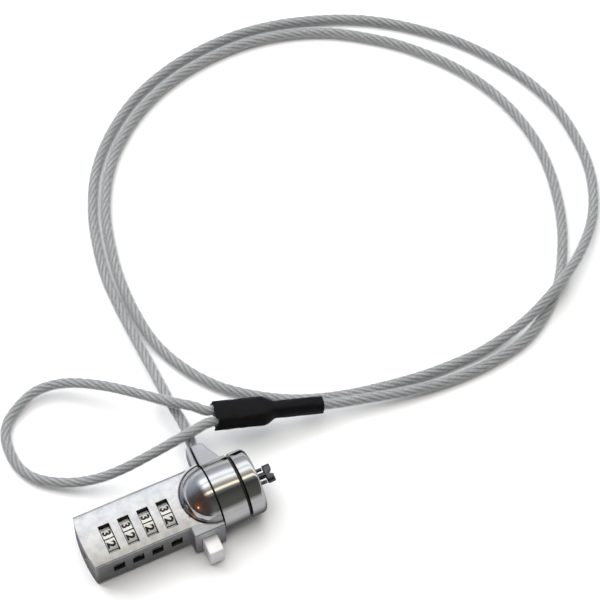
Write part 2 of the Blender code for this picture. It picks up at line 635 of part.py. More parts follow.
# ---------------------------------------------------------------- T-bar and button

def make_t_bar():
    """Shaft and head in one piece. The head's two lobes stand either side of a notch."""
    half = (T_LENGTH - T_WIDTH) / 2
    end = T_WIDTH / 2
    stadium = arc((half, AXIS_Z), end, -90, 90, 8) + arc((-half, AXIS_Z), end, 90, 270, 8)
    bar = outline("t_bar", [stadium], "YZ", TIP_X - T_THICK, TIP_X, PARTS)
    bevel(bar, 0.35 * MM, 2, 50)
    join(bar, cylinder("t_bar shaft", "X", (0, AXIS_Z), SHAFT_R, WORKS_REAR_X + 4.1 * MM,
                       TIP_X - T_NOTCH, 24))
    mouth = 1 * MM
    over = 0.5 * MM
    wide = mouth * (T_NOTCH + over) / T_NOTCH
    notch = [(TIP_X - T_NOTCH, 0), (TIP_X + over, -wide), (TIP_X + over, wide)]
    cut(bar, outline("tip notch", [notch], "XY", AXIS_Z - T_LENGTH, AXIS_Z + T_LENGTH))
    return finish(bar, STEEL, True)


def make_pinion():
    """Ten straight-flanked teeth on the T-bar's shaft; one tooth points straight down."""
    points = []
    for tooth in range(TEETH):
        middle = math.radians(270) + tooth * 2 * math.pi / TEETH
        for radius, half in ((TOOTH_ROOT_R, 12), (TOOTH_TIP_R, 4), (TOOTH_TIP_R, -4), (TOOTH_ROOT_R, -12)):
            angle = middle - math.radians(half)
            points.append((radius * math.cos(angle), AXIS_Z + radius * math.sin(angle)))
    bore = arc((0, AXIS_Z), SHAFT_R + 0.1 * MM, 0, 345, 23)
    return finish(outline("pinion", [points, bore], "YZ", *PINION_X, PARTS), BRIGHT)


def make_retaining_clip():
    clip = arc((0, AXIS_Z), SHAFT_R + 1.3 * MM, -60, 240, 20)
    clip += arc((0, AXIS_Z), SHAFT_R + 0.1 * MM, 240, -60, 20)
    rear = WORKS_FRONT_X - 1.1 * MM
    return finish(outline("retaining_clip", [clip], "YZ", rear, rear + 0.5 * MM, PARTS), BRIGHT)


def rack_outline():
    """Five teeth in Y and Z, set so that their spaces face the pinion's lowest tooth."""
    root = RACK_ROOT_Z + 0.02 * MM
    base = RACK_ROOT_Z - 0.5 * MM
    first = -3.5 * TOOTH_PITCH
    end = 2.0 * MM
    points = [(end, base), (first - 0.7 * MM, base), (first - 0.7 * MM, root)]
    for tooth in range(5):
        middle = first + tooth * TOOTH_PITCH
        points += [(middle - 0.42 * MM, root), (middle - 0.18 * MM, RACK_TIP_Z),
                   (middle + 0.18 * MM, RACK_TIP_Z), (middle + 0.42 * MM, root)]
    return points + [(end, root)]


def make_push_button():
    """Thumb tab, neck and stem in one casting. The stem carries the rack on top and the cam groove below."""
    inner = NEAR_Y + 0.1 * MM
    button = box("push_button", BUTTON_X, (BUTTON_Y, inner), BUTTON_Z, PARTS)
    bevel(button, 0.5 * MM, 2)
    stem_z = (STEM_BASE_Z, RACK_ROOT_Z)
    join(button,
         box("stem neck", BUTTON_X, (inner - 1 * MM, STEM_NEAR_Y + 0.5 * MM), stem_z),
         box("stem", (BUTTON_X[0] + 0.2 * MM, WORKS_FRONT_X - GAP), (STEM_NEAR_Y, STEM_FAR_Y), stem_z),
         outline("rack", [rack_outline()], "YZ", PINION_X[0] - GAP, PINION_X[1] + GAP))
    start = Vector((CAM_PIN_X, SPINDLE_Y))
    end = start + Vector((SPINDLE_TRAVEL, -STROKE))
    lean = math.degrees(math.atan2(end.y - start.y, end.x - start.x))
    width = CAM_PIN_R + GAP
    groove = arc(start, width, lean + 90, lean + 270, 10) + arc(end, width, lean - 90, lean + 90, 10)
    pocket = (sum(BUTTON_X) / 2, SPRING_Z)
    cut(button,
        outline("cam groove", [groove], "XY", STEM_BASE_Z - 1 * MM, STEM_BASE_Z + 1.8 * MM),
        cylinder("spring pocket", "Y", pocket, SPRING_R + SPRING_WIRE_R + GAP, BUTTON_Y + 1.7 * MM,
                 NEAR_Y + 1 * MM, 20))
    pivot("button_slide", (sum(BUTTON_X) / 2, BUTTON_Y, AXIS_Z - 5 * MM), button)
    return finish(button, MIRROR, True)


def coil(radius, turns, start, end, sides=10):
    """Points of a compression spring along Y, from start to end."""
    count = int(turns * sides)
    points = []
    for i in range(count + 1):
        angle = 2 * math.pi * i / sides
        points.append((sum(BUTTON_X) / 2 + radius * math.cos(angle), start + (end - start) * i / count,
                       SPRING_Z + radius * math.sin(angle)))
    return points


def make_button_spring():
    return wire("button_spring", coil(SPRING_R, 7, BUTTON_Y + 2.1 * MM, -4.7 * MM), SPRING_WIRE_R, BRIGHT)


# ---------------------------------------------------------------- code mechanism

def make_dial(index):
    """A wheel with ten cells, a fine groove between cells, and ten keyways in its bore."""
    step = 360 / DIGITS
    rim, bore = [], []
    centre = (SPINDLE_Y, SPINDLE_Z)
    for cell in range(DIGITS):
        border = 90 + cell * step
        rim += arc(centre, DIAL_R, border + 2.2, border + step - 2.2, 6)
        rim += arc(centre, DIAL_R - 0.3 * MM, border + step - 0.9, border + step + 0.9, 1)
        key = border + step / 2
        bore += arc(centre, DIAL_BORE_R, key - 28, key - 8, 3)
        bore += arc(centre, DIAL_BORE_R + KEYWAY_DEPTH, key - 8, key + 8, 2)
    across = (dial_x(index) - DIAL_WIDTH / 2, dial_x(index) + DIAL_WIDTH / 2)
    dial = outline(f"dial_{index + 1}", [rim, bore], "YZ", *across, PARTS)
    return finish(dial, DIAL_METAL, True)


def make_hub(index):
    """The code ring inside a dial: a tube whose rear web has one notch that the spindle's fin passes."""
    middle = dial_x(index)
    rear, front = middle - HUB_REAR, middle + HUB_FRONT
    bore = SPINDLE_R + GAP
    profile = [(HUB_BORE_R, front), (HUB_R, front), (HUB_R, rear), (bore, rear),
               (bore, rear + WEB_LENGTH), (HUB_BORE_R, rear + WEB_LENGTH)]
    hub = turned(f"hub_{index + 1}", profile, (0, SPINDLE_Y, SPINDLE_Z), PARTS, 32, closed=True)
    half = FIN_WIDTH / 2 + GAP
    cut(hub, box("notch", (rear - 1 * MM, rear + WEB_LENGTH + 0.5 * MM), (SPINDLE_Y - half, SPINDLE_Y + half),
                 (SPINDLE_Z, SPINDLE_Z + FIN_R + GAP)))
    key_x = DIAL_WIDTH / 2 - 0.5 * MM
    key = box("hub key", (middle - key_x, middle + key_x), (-0.35 * MM, 0.35 * MM),
              (HUB_R - 0.4 * MM, DIAL_BORE_R + KEYWAY_DEPTH - 0.25 * MM))
    key.matrix_world = (Matrix.Translation((0, SPINDLE_Y, SPINDLE_Z))
                        @ Matrix.Rotation(math.radians(180 / DIGITS), 4, "X"))
    join(hub, key)
    return finish(hub, BRASS, True)


def make_dials():
    for index in range(DIAL_COUNT):
        place = (dial_x(index), SPINDLE_Y, SPINDLE_Z)
        pivot(f"dial_{index + 1}_axis", place, make_dial(index), make_hub(index))


def make_spindle():
    """A rod with a fin for each hub, and a yoke that reaches under the stem and holds the cam pin."""
    end = WORKS_REAR_X + 1.5 * MM
    spindle = cylinder("spindle", "X", (SPINDLE_Y, SPINDLE_Z), SPINDLE_R, SPINDLE_REAR_X, end, 24, PARTS)
    for index in range(DIAL_COUNT):
        front = dial_x(index) - HUB_REAR - GAP
        join(spindle, box("fin", (front - FIN_LENGTH, front),
                          (SPINDLE_Y - FIN_WIDTH / 2, SPINDLE_Y + FIN_WIDTH / 2),
                          (SPINDLE_Z + 1 * MM, SPINDLE_Z + FIN_R)))
    arm_y = (SPINDLE_Y - SPINDLE_R, SPINDLE_Y + SPINDLE_R)
    foot_y = (arm_y[0] + 0.1 * MM, arm_y[1] - 0.1 * MM)
    join(spindle,
         box("yoke", (WORKS_REAR_X + GAP, end), arm_y, (STEM_BASE_Z - 2.8 * MM, SPINDLE_Z + 1.2 * MM)),
         box("yoke foot", (WORKS_REAR_X + 2 * GAP, CAM_PIN_X + 1 * MM), foot_y,
             (STEM_BASE_Z - 2.7 * MM, STEM_BASE_Z - 1.0 * MM)),
         cylinder("cam pin", "Z", (CAM_PIN_X, SPINDLE_Y), CAM_PIN_R, STEM_BASE_Z - 2.0 * MM,
                  STEM_BASE_Z + 1.5 * MM, 16))
    pivot("spindle_slide", (end, SPINDLE_Y, SPINDLE_Z), spindle)
    return finish(spindle, BRIGHT)


def make_detent_spring():
    """A comb spring beside the dials, with one soft bump at each."""
    back, front, bump = ROOM_FAR_Y + 0.7 * MM, ROOM_FAR_Y + 0.4 * MM, ROOM_FAR_Y - 0.15 * MM
    near_end, far_end = DIAL_ROOM_FRONT_X - 1.5 * MM, DIAL_ROOM_REAR_X + 1.6 * MM
    points = [(near_end, back), (far_end, back), (far_end, front)]
    for index in range(DIAL_COUNT):
        middle = dial_x(index)
        points += [(middle - 1.1 * MM, front), (middle - 0.6 * MM, bump), (middle + 0.6 * MM, bump),
                   (middle + 1.1 * MM, front)]
    points.append((near_end, front))
    height = (SPINDLE_Z - 1.4 * MM, SPINDLE_Z + 1.4 * MM)
    return finish(outline("detent_spring", [points], "XY", *height, PARTS), BRIGHT)


def make_reset_parts():
    """The screw that a coin turns from behind, the plate it pushes, and the spring in front of the plate."""
    centre = (0, SPINDLE_Y, SPINDLE_Z)
    plug, flange = RESET_HOLE_R - GAP, 3.8 * MM
    bore, bottom = SPINDLE_R + GAP, SPINDLE_REAR_X - RESET_TRAVEL - GAP
    rear = REAR_X + GAP
    edge = 0.2 * MM
    profile = [(0, bottom), (bore, bottom), (bore, FLANGE_FRONT_X), (flange, FLANGE_FRONT_X),
               (flange, FLANGE_REAR_X), (plug, FLANGE_REAR_X), (plug, rear + edge), (plug - edge, rear),
               (0, rear)]
    reset = turned("reset_screw", profile, centre, PARTS, 32)
    slot = 0.4 * MM
    cut(reset, box("coin slot", (rear - 1 * MM, rear + 0.7 * MM), (SPINDLE_Y - slot, SPINDLE_Y + slot),
                   (SPINDLE_Z - 4 * MM, SPINDLE_Z + 4 * MM)))
    finish(reset, BRASS, True)
    rim = RESET_RIM_R - 1 * MM
    web = PLATE_REAR_X + 0.4 * MM
    plate = turned("reset_plate", [(rim, PLATE_FRONT_X), (RESET_RIM_R, PLATE_FRONT_X),
                                   (RESET_RIM_R, PLATE_REAR_X), (RESET_WEB_R, PLATE_REAR_X),
                                   (RESET_WEB_R, web), (rim, web)], centre, PARTS, 32, closed=True)
    finish(plate, BRIGHT, True)
    pivot("reset_axis", (PLATE_REAR_X, SPINDLE_Y, SPINDLE_Z), reset, plate)
    inner, outer = RESET_RIM_R - 1 * MM, RESET_RIM_R - 0.1 * MM
    front, back = RESET_SPRING_X, RESET_SPRING_X - GAP
    spring = turned("reset_spring", [(inner, front), (outer, front), (outer, back), (inner, back)],
                    centre, PARTS, 32, closed=True)
    finish(spring, BRIGHT, True)


# ---------------------------------------------------------------- cable

def sleeve_frame():
    """The sleeve's own frame: its length along X and its wide side along Y."""
    length = SLEEVE_END - SLEEVE_START
    forward = length.normalized()
    wide = Vector((-forward.y, forward.x, 0)).normalized()
    up = forward.cross(wide)
    frame = Matrix((forward, wide, up)).transposed().to_4x4()
    return Matrix.Translation(SLEEVE_START) @ frame, length.length


def oval(width, height, count=24):
    """A stadium-like ring: half circles joined by flat runs, as one evenly turned outline."""
    radius = height / 2
    flat = (width - height) / 2
    ring = []
    for k in range(count):
        angle = 2 * math.pi * (k + 0.5) / count
        shift = flat if math.cos(angle) > 0 else -flat
        ring.append((shift + radius * math.cos(angle), radius * math.sin(angle)))
    return ring


def loft(name, sections, frame, caps):
    """Rings of equal point count joined in order; each section is (station, ring)."""
    shape = bmesh.new()
    rings = []
    for station, ring in sections:
        rings.append([shape.verts.new((station, across, up)) for across, up in ring])
    for first, second in zip(rings, rings[1:]):
        for k in range(len(first)):
            after = (k + 1) % len(first)
            shape.faces.new((first[k], first[after], second[after], second[k]))
    if caps:
        shape.faces.new(rings[0])
        shape.faces.new(rings[-1][::-1])
    bmesh.ops.recalc_face_normals(shape, faces=shape.faces)
    item = add_mesh(name, shape, PARTS)
    item.matrix_world = frame
    return item


def make_sleeve():
    frame, length = sleeve_frame()
    fat, slim = oval(10.4 * MM, 6.9 * MM), oval(6.1 * MM, 6.1 * MM)
    middle = [((a[0] + b[0]) / 2, (a[1] + b[1]) / 2) for a, b in zip(fat, slim)]
    tube = loft("shrink_tube", [(0, fat), (SLEEVE_FAT, fat), (SLEEVE_FAT + SLEEVE_TAPER / 2, middle),
                                (SLEEVE_FAT + SLEEVE_TAPER, slim), (length, slim)], frame, False)
    shell = tube.modifiers.new("wall", "SOLIDIFY")
    shell.thickness = SLEEVE_WALL
    shell.offset = -1
    finish(tube, SHRINK, True)
    ferrule = oval(8.4 * MM, 4.9 * MM)
    sleeve = loft("crimp_sleeve", [(3.2 * MM, ferrule), (SLEEVE_FAT - 0.6 * MM, ferrule)], frame, True)
    finish(sleeve, ALLOY, True)
    return frame, length


def make_cables():
    """The rope in two stretches: the main run from the lug, and the eye that the sleeve closes."""
    frame, length = make_sleeve()
    inside, outside, lift = 2.8 * MM, -2.5 * MM, 0.1 * MM
    upper = frame @ Vector((inside, STRAND_OFFSET, 0))
    lower = frame @ Vector((inside, -STRAND_OFFSET, 0))
    upper_mouth = frame @ Vector((outside, STRAND_OFFSET + lift, lift))
    lower_mouth = frame @ Vector((outside, -STRAND_OFFSET - lift, lift))
    eye = [upper, upper_mouth] + [Vector(p) * MM for p in EYE_ROUTE] + [lower_mouth, lower]
    wire("cable_eye", smooth_route(eye, 26), CABLE_R, ROPE)
    tail = [frame @ Vector((length + 4 * MM, 0, 0)), frame @ Vector((length - 6 * MM, 0, 0)),
            frame @ Vector((SLEEVE_FAT, 0, 0))]
    main = [Vector(p) * MM for p in MAIN_ROUTE] + tail
    wire("cable_main", smooth_route(main, 56), CABLE_R, ROPE)
    stop = cylinder("cable_stop", "Y", (LUG_X, LUG_Z), STOP_R, *STOP_Y, 24, PARTS)
    finish(stop, ALLOY, True)


# ---------------------------------------------------------------- the whole lock

def build():
    make_housing()
    make_base_cover()
    make_front_collar()
    make_screws()
    make_nose_boss()
    make_pins()
    make_nose_ring()
    make_groove_washer()
    pivot("t_bar_axis", (PARTING_X, 0, AXIS_Z), make_t_bar(), make_pinion(), make_retaining_clip())
    make_push_button()
    make_button_spring()
    make_spindle()
    make_detent_spring()
    make_dials()
    make_reset_parts()
    make_cables()


build()
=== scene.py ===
"""Looks of a laptop cable lock: chrome head, code dials, T-bar, black crimp sleeve and coated wire rope.

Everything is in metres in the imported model's frame: +X towards the nose, +Z up, the button on -Y.
"""
import math

import bmesh
import bpy
import numpy as np
from mathutils import Matrix, Vector, noise


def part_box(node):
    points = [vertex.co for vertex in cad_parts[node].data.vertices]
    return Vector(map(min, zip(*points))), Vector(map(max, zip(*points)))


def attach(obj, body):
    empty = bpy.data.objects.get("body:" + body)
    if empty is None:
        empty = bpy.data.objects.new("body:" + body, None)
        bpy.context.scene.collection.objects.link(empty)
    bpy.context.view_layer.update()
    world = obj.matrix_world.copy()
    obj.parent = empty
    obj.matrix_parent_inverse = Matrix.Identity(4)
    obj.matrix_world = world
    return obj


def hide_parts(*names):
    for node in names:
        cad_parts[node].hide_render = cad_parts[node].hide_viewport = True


MM = 0.001

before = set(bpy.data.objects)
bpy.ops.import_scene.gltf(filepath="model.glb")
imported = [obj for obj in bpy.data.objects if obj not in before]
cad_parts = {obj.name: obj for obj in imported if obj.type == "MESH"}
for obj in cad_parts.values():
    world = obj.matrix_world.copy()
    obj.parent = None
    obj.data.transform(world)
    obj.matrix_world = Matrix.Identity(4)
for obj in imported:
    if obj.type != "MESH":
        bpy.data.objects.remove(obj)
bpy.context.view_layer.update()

# ---------------------------------------------------------------- sizes, as in the CAD source

PARTING_X = 11.5 * MM
HOUSING_FRONT_X = 11.2 * MM
COLLAR_REAR_X = 11.8 * MM
COLLAR_X = 20.6 * MM
RING_X = 21.7 * MM
REAR_X = -34.3 * MM
BLOCK_X = 0.3 * MM
NEAR_Y, FAR_Y, BLOCK_Y, EAR_Y = -8.7 * MM, 11.5 * MM, -12.3 * MM, 18.3 * MM
TOP_Z = 15.2 * MM
CROWN = 0.5 * MM
REAR_BOW = 0.8 * MM
AXIS_Z = 11.4 * MM
ROUND_R = 11.3 * MM
DOME_WALL = 1.8 * MM
DOME_FILLET = 1.3 * MM
SPINDLE_Y, SPINDLE_Z = -0.9 * MM, 8.6 * MM
DIAL_R = 6.7 * MM
DIAL_COUNT = 4
WINDOW_X, WINDOW_Y = 4.0 * MM, 10.2 * MM
SIDE_WINDOW_Z = (6.1 * MM, 11.1 * MM)
ROOM_Z = (1.5 * MM, 13.4 * MM)
DIAL_ROOM_X, DIAL_ROOM_Y = (-31 * MM, -2.1 * MM), (-7.4 * MM, 6.2 * MM)
WORKS_ROOM_X, WORKS_ROOM_Y = (-1.1 * MM, 10 * MM), (-7.2 * MM, 10 * MM)
COVER_X, COVER_Y, COVER_TOP_Z = (-30.6 * MM, 9 * MM), (-6.2 * MM, 9 * MM), 1.6 * MM
BUTTON_SLOT_X, BUTTON_SLOT_Z = (2.72 * MM, 8.28 * MM), (1.32 * MM, 10.98 * MM)
RESET_HOLE_R = 2.65 * MM
SHAFT_HOLE_R = 1.4 * MM
STOP_ROOM_R = 3.3 * MM
RING_BORE_R, RING_FRONT_X = 7.3 * MM, 27.2 * MM
CABLE_R = 2.0 * MM
CABLE_HOLE_R = 2.3 * MM
LUG_X, LUG_Z = 13.2 * MM, 11.4 * MM
LUG_HALF = 3.8 * MM
SLEEVE_START = Vector((23.8, 25.2, 14.8)) * MM
SLEEVE_END = Vector((59.7, 17.1, 7.3)) * MM
SLEEVE_FAT = 16.5 * MM
SLEEVE_TAPER = 5.0 * MM
STRAND_OFFSET = 2.15 * MM

# The rope's route, the same points as its CAD solids
MAIN_ROUTE = [
    (13.2, 10.7, 11.4), (13.2, 19, 11.4), (13.8, 28, 10.8), (13.2, 40, 8.9), (13, 54, 6.2), (12.8, 68, 3.8),
    (12.6, 82, 2.5), (13, 95, 2.1), (15.2, 108, 2.1), (19, 121, 2.1), (26, 135, 2.1), (37, 147.5, 2.1),
    (52, 158, 2.1), (70, 164.5, 2.1), (90, 166.8, 2.1), (108, 165, 2.1), (125, 160, 2.1), (140, 153, 2.1),
    (154, 143, 2.1), (168, 129, 2.1), (179, 112, 2.1), (185.8, 94, 2.1), (187.2, 77, 2.1), (185, 61, 2.2),
    (178, 46, 3.2), (167, 34, 5.4), (154, 25, 6.8), (138, 18, 5.2), (122, 15, 2.6), (108, 14.4, 2.1),
    (92, 15.4, 2.1), (71, 19, 2.1), (55, 24.2, 2.1), (43, 31, 2.1), (32, 40, 2.1), (24, 51, 2.1),
    (18.6, 64, 2.1), (16.8, 78, 2.1), (17.2, 93, 2.1), (19.6, 107, 2.1), (23.3, 119.6, 2.1), (30, 132.6, 2.1),
    (40, 144, 2.1), (54.4, 154, 2.1), (71.2, 160, 2.1), (90, 162.2, 2.1), (107, 160.4, 2.1), (123, 155, 2.1),
    (136, 147, 2.1), (149, 136, 2.1), (161, 121, 2.1), (169, 105, 2.1), (173, 88, 2.1), (173, 72, 2.1),
    (169, 54, 2.1), (162, 38, 2.1), (152, 24, 2.1), (137, 13.5, 2.1), (121, 9.8, 2.1), (105, 9.3, 2.2),
    (90, 10.9, 3.4), (75, 13.8, 5.2),
]
EYE_ROUTE = [
    (18.4, 31.2, 15.9), (12, 36.2, 15.4), (4, 44, 13.8), (-4, 52, 11), (-12.4, 58.8, 8), (-19.5, 62.6, 5.5),
    (-26.5, 63.5, 4), (-33.2, 61.3, 2.9), (-38.4, 57.9, 2.2), (-41.2, 53.5, 2.1), (-42.2, 47.9, 2.1),
    (-41.5, 40.8, 2.1), (-38.3, 35, 2.4), (-32.9, 30.4, 3.2), (-26.3, 26.6, 4.6), (-19, 24, 6.6),
    (-11, 22.6, 9.2), (0, 22, 13), (8.8, 22.2, 15.2), (15, 22.6, 16),
]


# ---------------------------------------------------------------- mesh helpers

def link(item):
    bpy.context.scene.collection.objects.link(item)
    return item


def from_bmesh(name, shape):
    mesh = bpy.data.meshes.new(name)
    shape.to_mesh(mesh)
    shape.free()
    return link(bpy.data.objects.new(name, mesh))


def boxes(name, places):
    """Several boxes that stay clear of each other, in one object."""
    shape = bmesh.new()
    for x, y, z in places:
        made = bmesh.ops.create_cube(shape, size=1)["verts"]
        middle = Vector((x[0] + x[1], y[0] + y[1], z[0] + z[1])) / 2
        bmesh.ops.scale(shape, vec=(x[1] - x[0], y[1] - y[0], z[1] - z[0]), verts=made)
        bmesh.ops.translate(shape, vec=middle, verts=made)
    return from_bmesh(name, shape)


def box(name, x, y, z):
    return boxes(name, [(x, y, z)])


def along(axis):
    turns = {"X": Matrix.Rotation(math.pi / 2, 4, "Y"), "Y": Matrix.Rotation(-math.pi / 2, 4, "X")}
    return turns.get(axis, Matrix.Identity(4))


def cylinder(name, axis, centre, radius, start, end):
    shape = bmesh.new()
    bmesh.ops.create_cone(shape, cap_ends=True, segments=64, radius1=radius, radius2=radius,
                          depth=end - start)
    place = list(centre)
    place.insert("XYZ".index(axis), (start + end) / 2)
    bmesh.ops.transform(shape, matrix=Matrix.Translation(place) @ along(axis), verts=shape.verts)
    return from_bmesh(name, shape)


def turned(name, profile, centre, sides=160, closed=False, axis="X"):
    """A Screw about an axis; the profile is (radius, station), running down its outer side."""
    shape = bmesh.new()
    points = [shape.verts.new((radius, 0, station)) for radius, station in profile]
    for first, second in zip(points, points[1:]):
        shape.edges.new((first, second))
    if closed:
        shape.edges.new((points[-1], points[0]))
    item = from_bmesh(name, shape)
    item.matrix_world = Matrix.Translation(centre) @ along(axis)
    screw = item.modifiers.new("turn", "SCREW")
    screw.steps = sides
    screw.render_steps = sides
    screw.use_merge_vertices = True
    screw.merge_threshold = 0.000005
    return item


def outline(name, points, plane, start, end):
    data = bpy.data.curves.new(name, "CURVE")
    data.dimensions = "2D"
    data.fill_mode = "BOTH"
    data.extrude = (end - start) / 2
    spline = data.splines.new("POLY")
    spline.points.add(len(points) - 1)
    for point, (across, up) in zip(spline.points, points):
        point.co = (across, up, 0, 1)
    spline.use_cyclic_u = True
    flat = link(bpy.data.objects.new(name + "_outline", data))
    middle = (start + end) / 2
    frames = {"XY": Matrix.Translation((0, 0, middle)),
              "YZ": Matrix(((0, 0, 1, middle), (1, 0, 0, 0), (0, 1, 0, 0), (0, 0, 0, 1)))}
    flat.matrix_world = frames[plane]
    return solid_copy(flat, name)


def solid_copy(source, name):
    """A plain mesh of an object as it looks with its modifiers; the source is removed."""
    bpy.context.view_layer.update()
    place = source.matrix_world.copy()
    graph = bpy.context.evaluated_depsgraph_get()
    mesh = bpy.data.meshes.new_from_object(source.evaluated_get(graph))
    shape = bmesh.new()
    shape.from_mesh(mesh)
    bmesh.ops.transform(shape, matrix=place, verts=shape.verts)
    bmesh.ops.remove_doubles(shape, verts=shape.verts, dist=0.0000005)
    bmesh.ops.recalc_face_normals(shape, faces=shape.faces)
    shape.to_mesh(mesh)
    shape.free()
    mesh.name = name
    bpy.data.objects.remove(source, do_unlink=True)
    return link(bpy.data.objects.new(name, mesh))


def boolean(item, tools, operation):
    for tool in tools:
        step = item.modifiers.new(operation, "BOOLEAN")
        step.object = tool
        step.operation = operation
        step.solver = "EXACT"


def settle(item, name, tools):
    """Applies the modifiers, drops the tools and shades smooth between sharp edges."""
    item = solid_copy(item, name)
    for tool in tools:
        bpy.data.objects.remove(tool, do_unlink=True)
    item.data.shade_smooth()
    item.data.set_sharp_from_angle(angle=math.radians(35))
    return item


def bevel(item, width, segments=4, angle=40):
    step = item.modifiers.new("rounded edges", "BEVEL")
    step.width = width
    step.segments = segments
    step.limit_method = "ANGLE"
    step.angle_limit = math.radians(angle)


def cut_across(shape, point, normal):
    """Cuts every face along the plane through the point, and keeps both sides."""
    geometry = list(shape.verts) + list(shape.edges) + list(shape.faces)
    bmesh.ops.bisect_plane(shape, geom=geometry, plane_co=point, plane_no=normal)


def sliced(item, axis, start, end, step):
    """Cuts long faces into short bands, so that the shading at a joint stays close to it."""
    shape = bmesh.new()
    shape.from_mesh(item.data)
    normal = Vector([float(letter == axis) for letter in "XYZ"])
    for i in range(int((end - start) / step) + 1):
        cut_across(shape, normal * (start + i * step), normal)
    shape.to_mesh(item.data)
    shape.free()


def within(value, span, margin):
    return span[0] - margin < value < span[1] + margin


def arc(centre, radius, start, end, steps):
    angles = [math.radians(start + (end - start) * i / steps) for i in range(steps + 1)]
    return [(centre[0] + radius * math.cos(a), centre[1] + radius * math.sin(a)) for a in angles]


def smooth_route(points, step):
    """Points a step apart on a Catmull-Rom curve through the route's own points."""
    route = [Vector(p) for p in points]
    route = [2 * route[0] - route[1]] + route + [2 * route[-1] - route[-2]]
    fine = []
    for i in range(1, len(route) - 2):
        before, start, end, after = route[i - 1:i + 3]
        for k in range(24):
            t = k / 24
            fine.append(0.5 * (2 * start + (end - before) * t
                               + (2 * before - 5 * start + 4 * end - after) * t * t
                               + (3 * start - before - 3 * end + after) * t ** 3))
    fine.append(route[-2])
    fine = np.array(fine)
    lengths = np.concatenate([[0], np.cumsum(np.linalg.norm(np.diff(fine, axis=0), axis=1))])
    count = int(lengths[-1] / step) + 1
    stations = np.linspace(0, lengths[-1], count)
    points = np.stack([np.interp(stations, lengths, fine[:, k]) for k in range(3)], axis=1)
    return points, stations


# ---------------------------------------------------------------- materials

def new_material(name):
    surface = bpy.data.materials.new(name)
    surface.use_nodes = True
    return surface, surface.node_tree, surface.node_tree.nodes["Principled BSDF"]


def add(tree, kind, **values):
    node = tree.nodes.new(kind)
    for key, value in values.items():
        if key in node.inputs:
            node.inputs[key].default_value = value
        else:
            setattr(node, key, value)
    return node


def coordinates(tree, kind="Object"):
    return add(tree, "ShaderNodeTexCoord").outputs[kind]


def apart(tree, vector):
    """The X, Y and Z of a vector."""
    node = add(tree, "ShaderNodeSeparateXYZ")
    tree.links.new(vector, node.inputs["Vector"])
    return node.outputs


def distance_to(tree, vector, point):
    node = add(tree, "ShaderNodeVectorMath", operation="DISTANCE")
    node.inputs[1].default_value = point
    tree.links.new(vector, node.inputs[0])
    return node.outputs["Value"]


def product(tree, first, second):
    node = add(tree, "ShaderNodeMath", operation="MULTIPLY")
    tree.links.new(first, node.inputs[0])
    tree.links.new(second, node.inputs[1])
    return node.outputs["Value"]


def blend(tree, kind, share, first, second):
    """Two linked colours joined by a blend type, in full where the share is None."""
    node = add(tree, "ShaderNodeMix", data_type="RGBA", blend_type=kind)
    if share is None:
        node.inputs[0].default_value = 1
    else:
        tree.links.new(share, node.inputs[0])
    tree.links.new(first, node.inputs[6])
    tree.links.new(second, node.inputs[7])
    return node.outputs[2]


def noise_field(tree, scale, detail=3.0, stretch=(1, 1, 1)):
    place = coordinates(tree)
    mapping = add(tree, "ShaderNodeMapping")
    mapping.inputs["Scale"].default_value = stretch
    field = add(tree, "ShaderNodeTexNoise", Scale=scale, Detail=detail)
    tree.links.new(place, mapping.inputs["Vector"])
    tree.links.new(mapping.outputs["Vector"], field.inputs["Vector"])
    return field.outputs["Fac"]


def ramp(tree, value, stops):
    node = add(tree, "ShaderNodeValToRGB")
    band = node.color_ramp
    band.elements[0].position, band.elements[0].color = stops[0][0], (*stops[0][1], 1)
    band.elements[1].position, band.elements[1].color = stops[-1][0], (*stops[-1][1], 1)
    for place, colour in stops[1:-1]:
        band.elements.new(place).color = (*colour, 1)
    tree.links.new(value, node.inputs["Fac"])
    return node.outputs["Color"]


def spread(tree, value, low, high):
    """A value from 0 to 1 moved to run from low to high."""
    node = add(tree, "ShaderNodeMapRange")
    node.inputs["To Min"].default_value = low
    node.inputs["To Max"].default_value = high
    tree.links.new(value, node.inputs["Value"])
    return node.outputs["Result"]


def fade(tree, value, start, end, kind="LINEAR"):
    """0 to 1 as the value goes from start to end."""
    node = add(tree, "ShaderNodeMapRange", interpolation_type=kind)
    node.inputs["From Min"].default_value = start
    node.inputs["From Max"].default_value = end
    tree.links.new(value, node.inputs["Value"])
    return node.outputs["Result"]


def bump(tree, shader, height, strength, distance):
    node = add(tree, "ShaderNodeBump", Strength=strength, Distance=distance)
    tree.links.new(height, node.inputs["Height"])
    tree.links.new(node.outputs["Normal"], shader.inputs["Normal"])


def metal(name, colour, rough, grain=0.02, stretch=(1, 1, 1), scale=900, dark=None, bumps=0.15):
    """A metal whose tint, gloss and surface all vary with a fine grain."""
    surface, tree, shader = new_material(name)
    shader.inputs["Metallic"].default_value = 1
    grainy = noise_field(tree, scale, 4, stretch)
    cloudy = noise_field(tree, 120, 2)
    shade = dark or tuple(c * 0.86 for c in colour)
    tree.links.new(ramp(tree, cloudy, [(0.3, shade), (0.7, colour)]), shader.inputs["Base Color"])
    tree.links.new(spread(tree, grainy, rough - grain, rough + grain), shader.inputs["Roughness"])
    bump(tree, shader, grainy, bumps, 0.00002)
    return surface


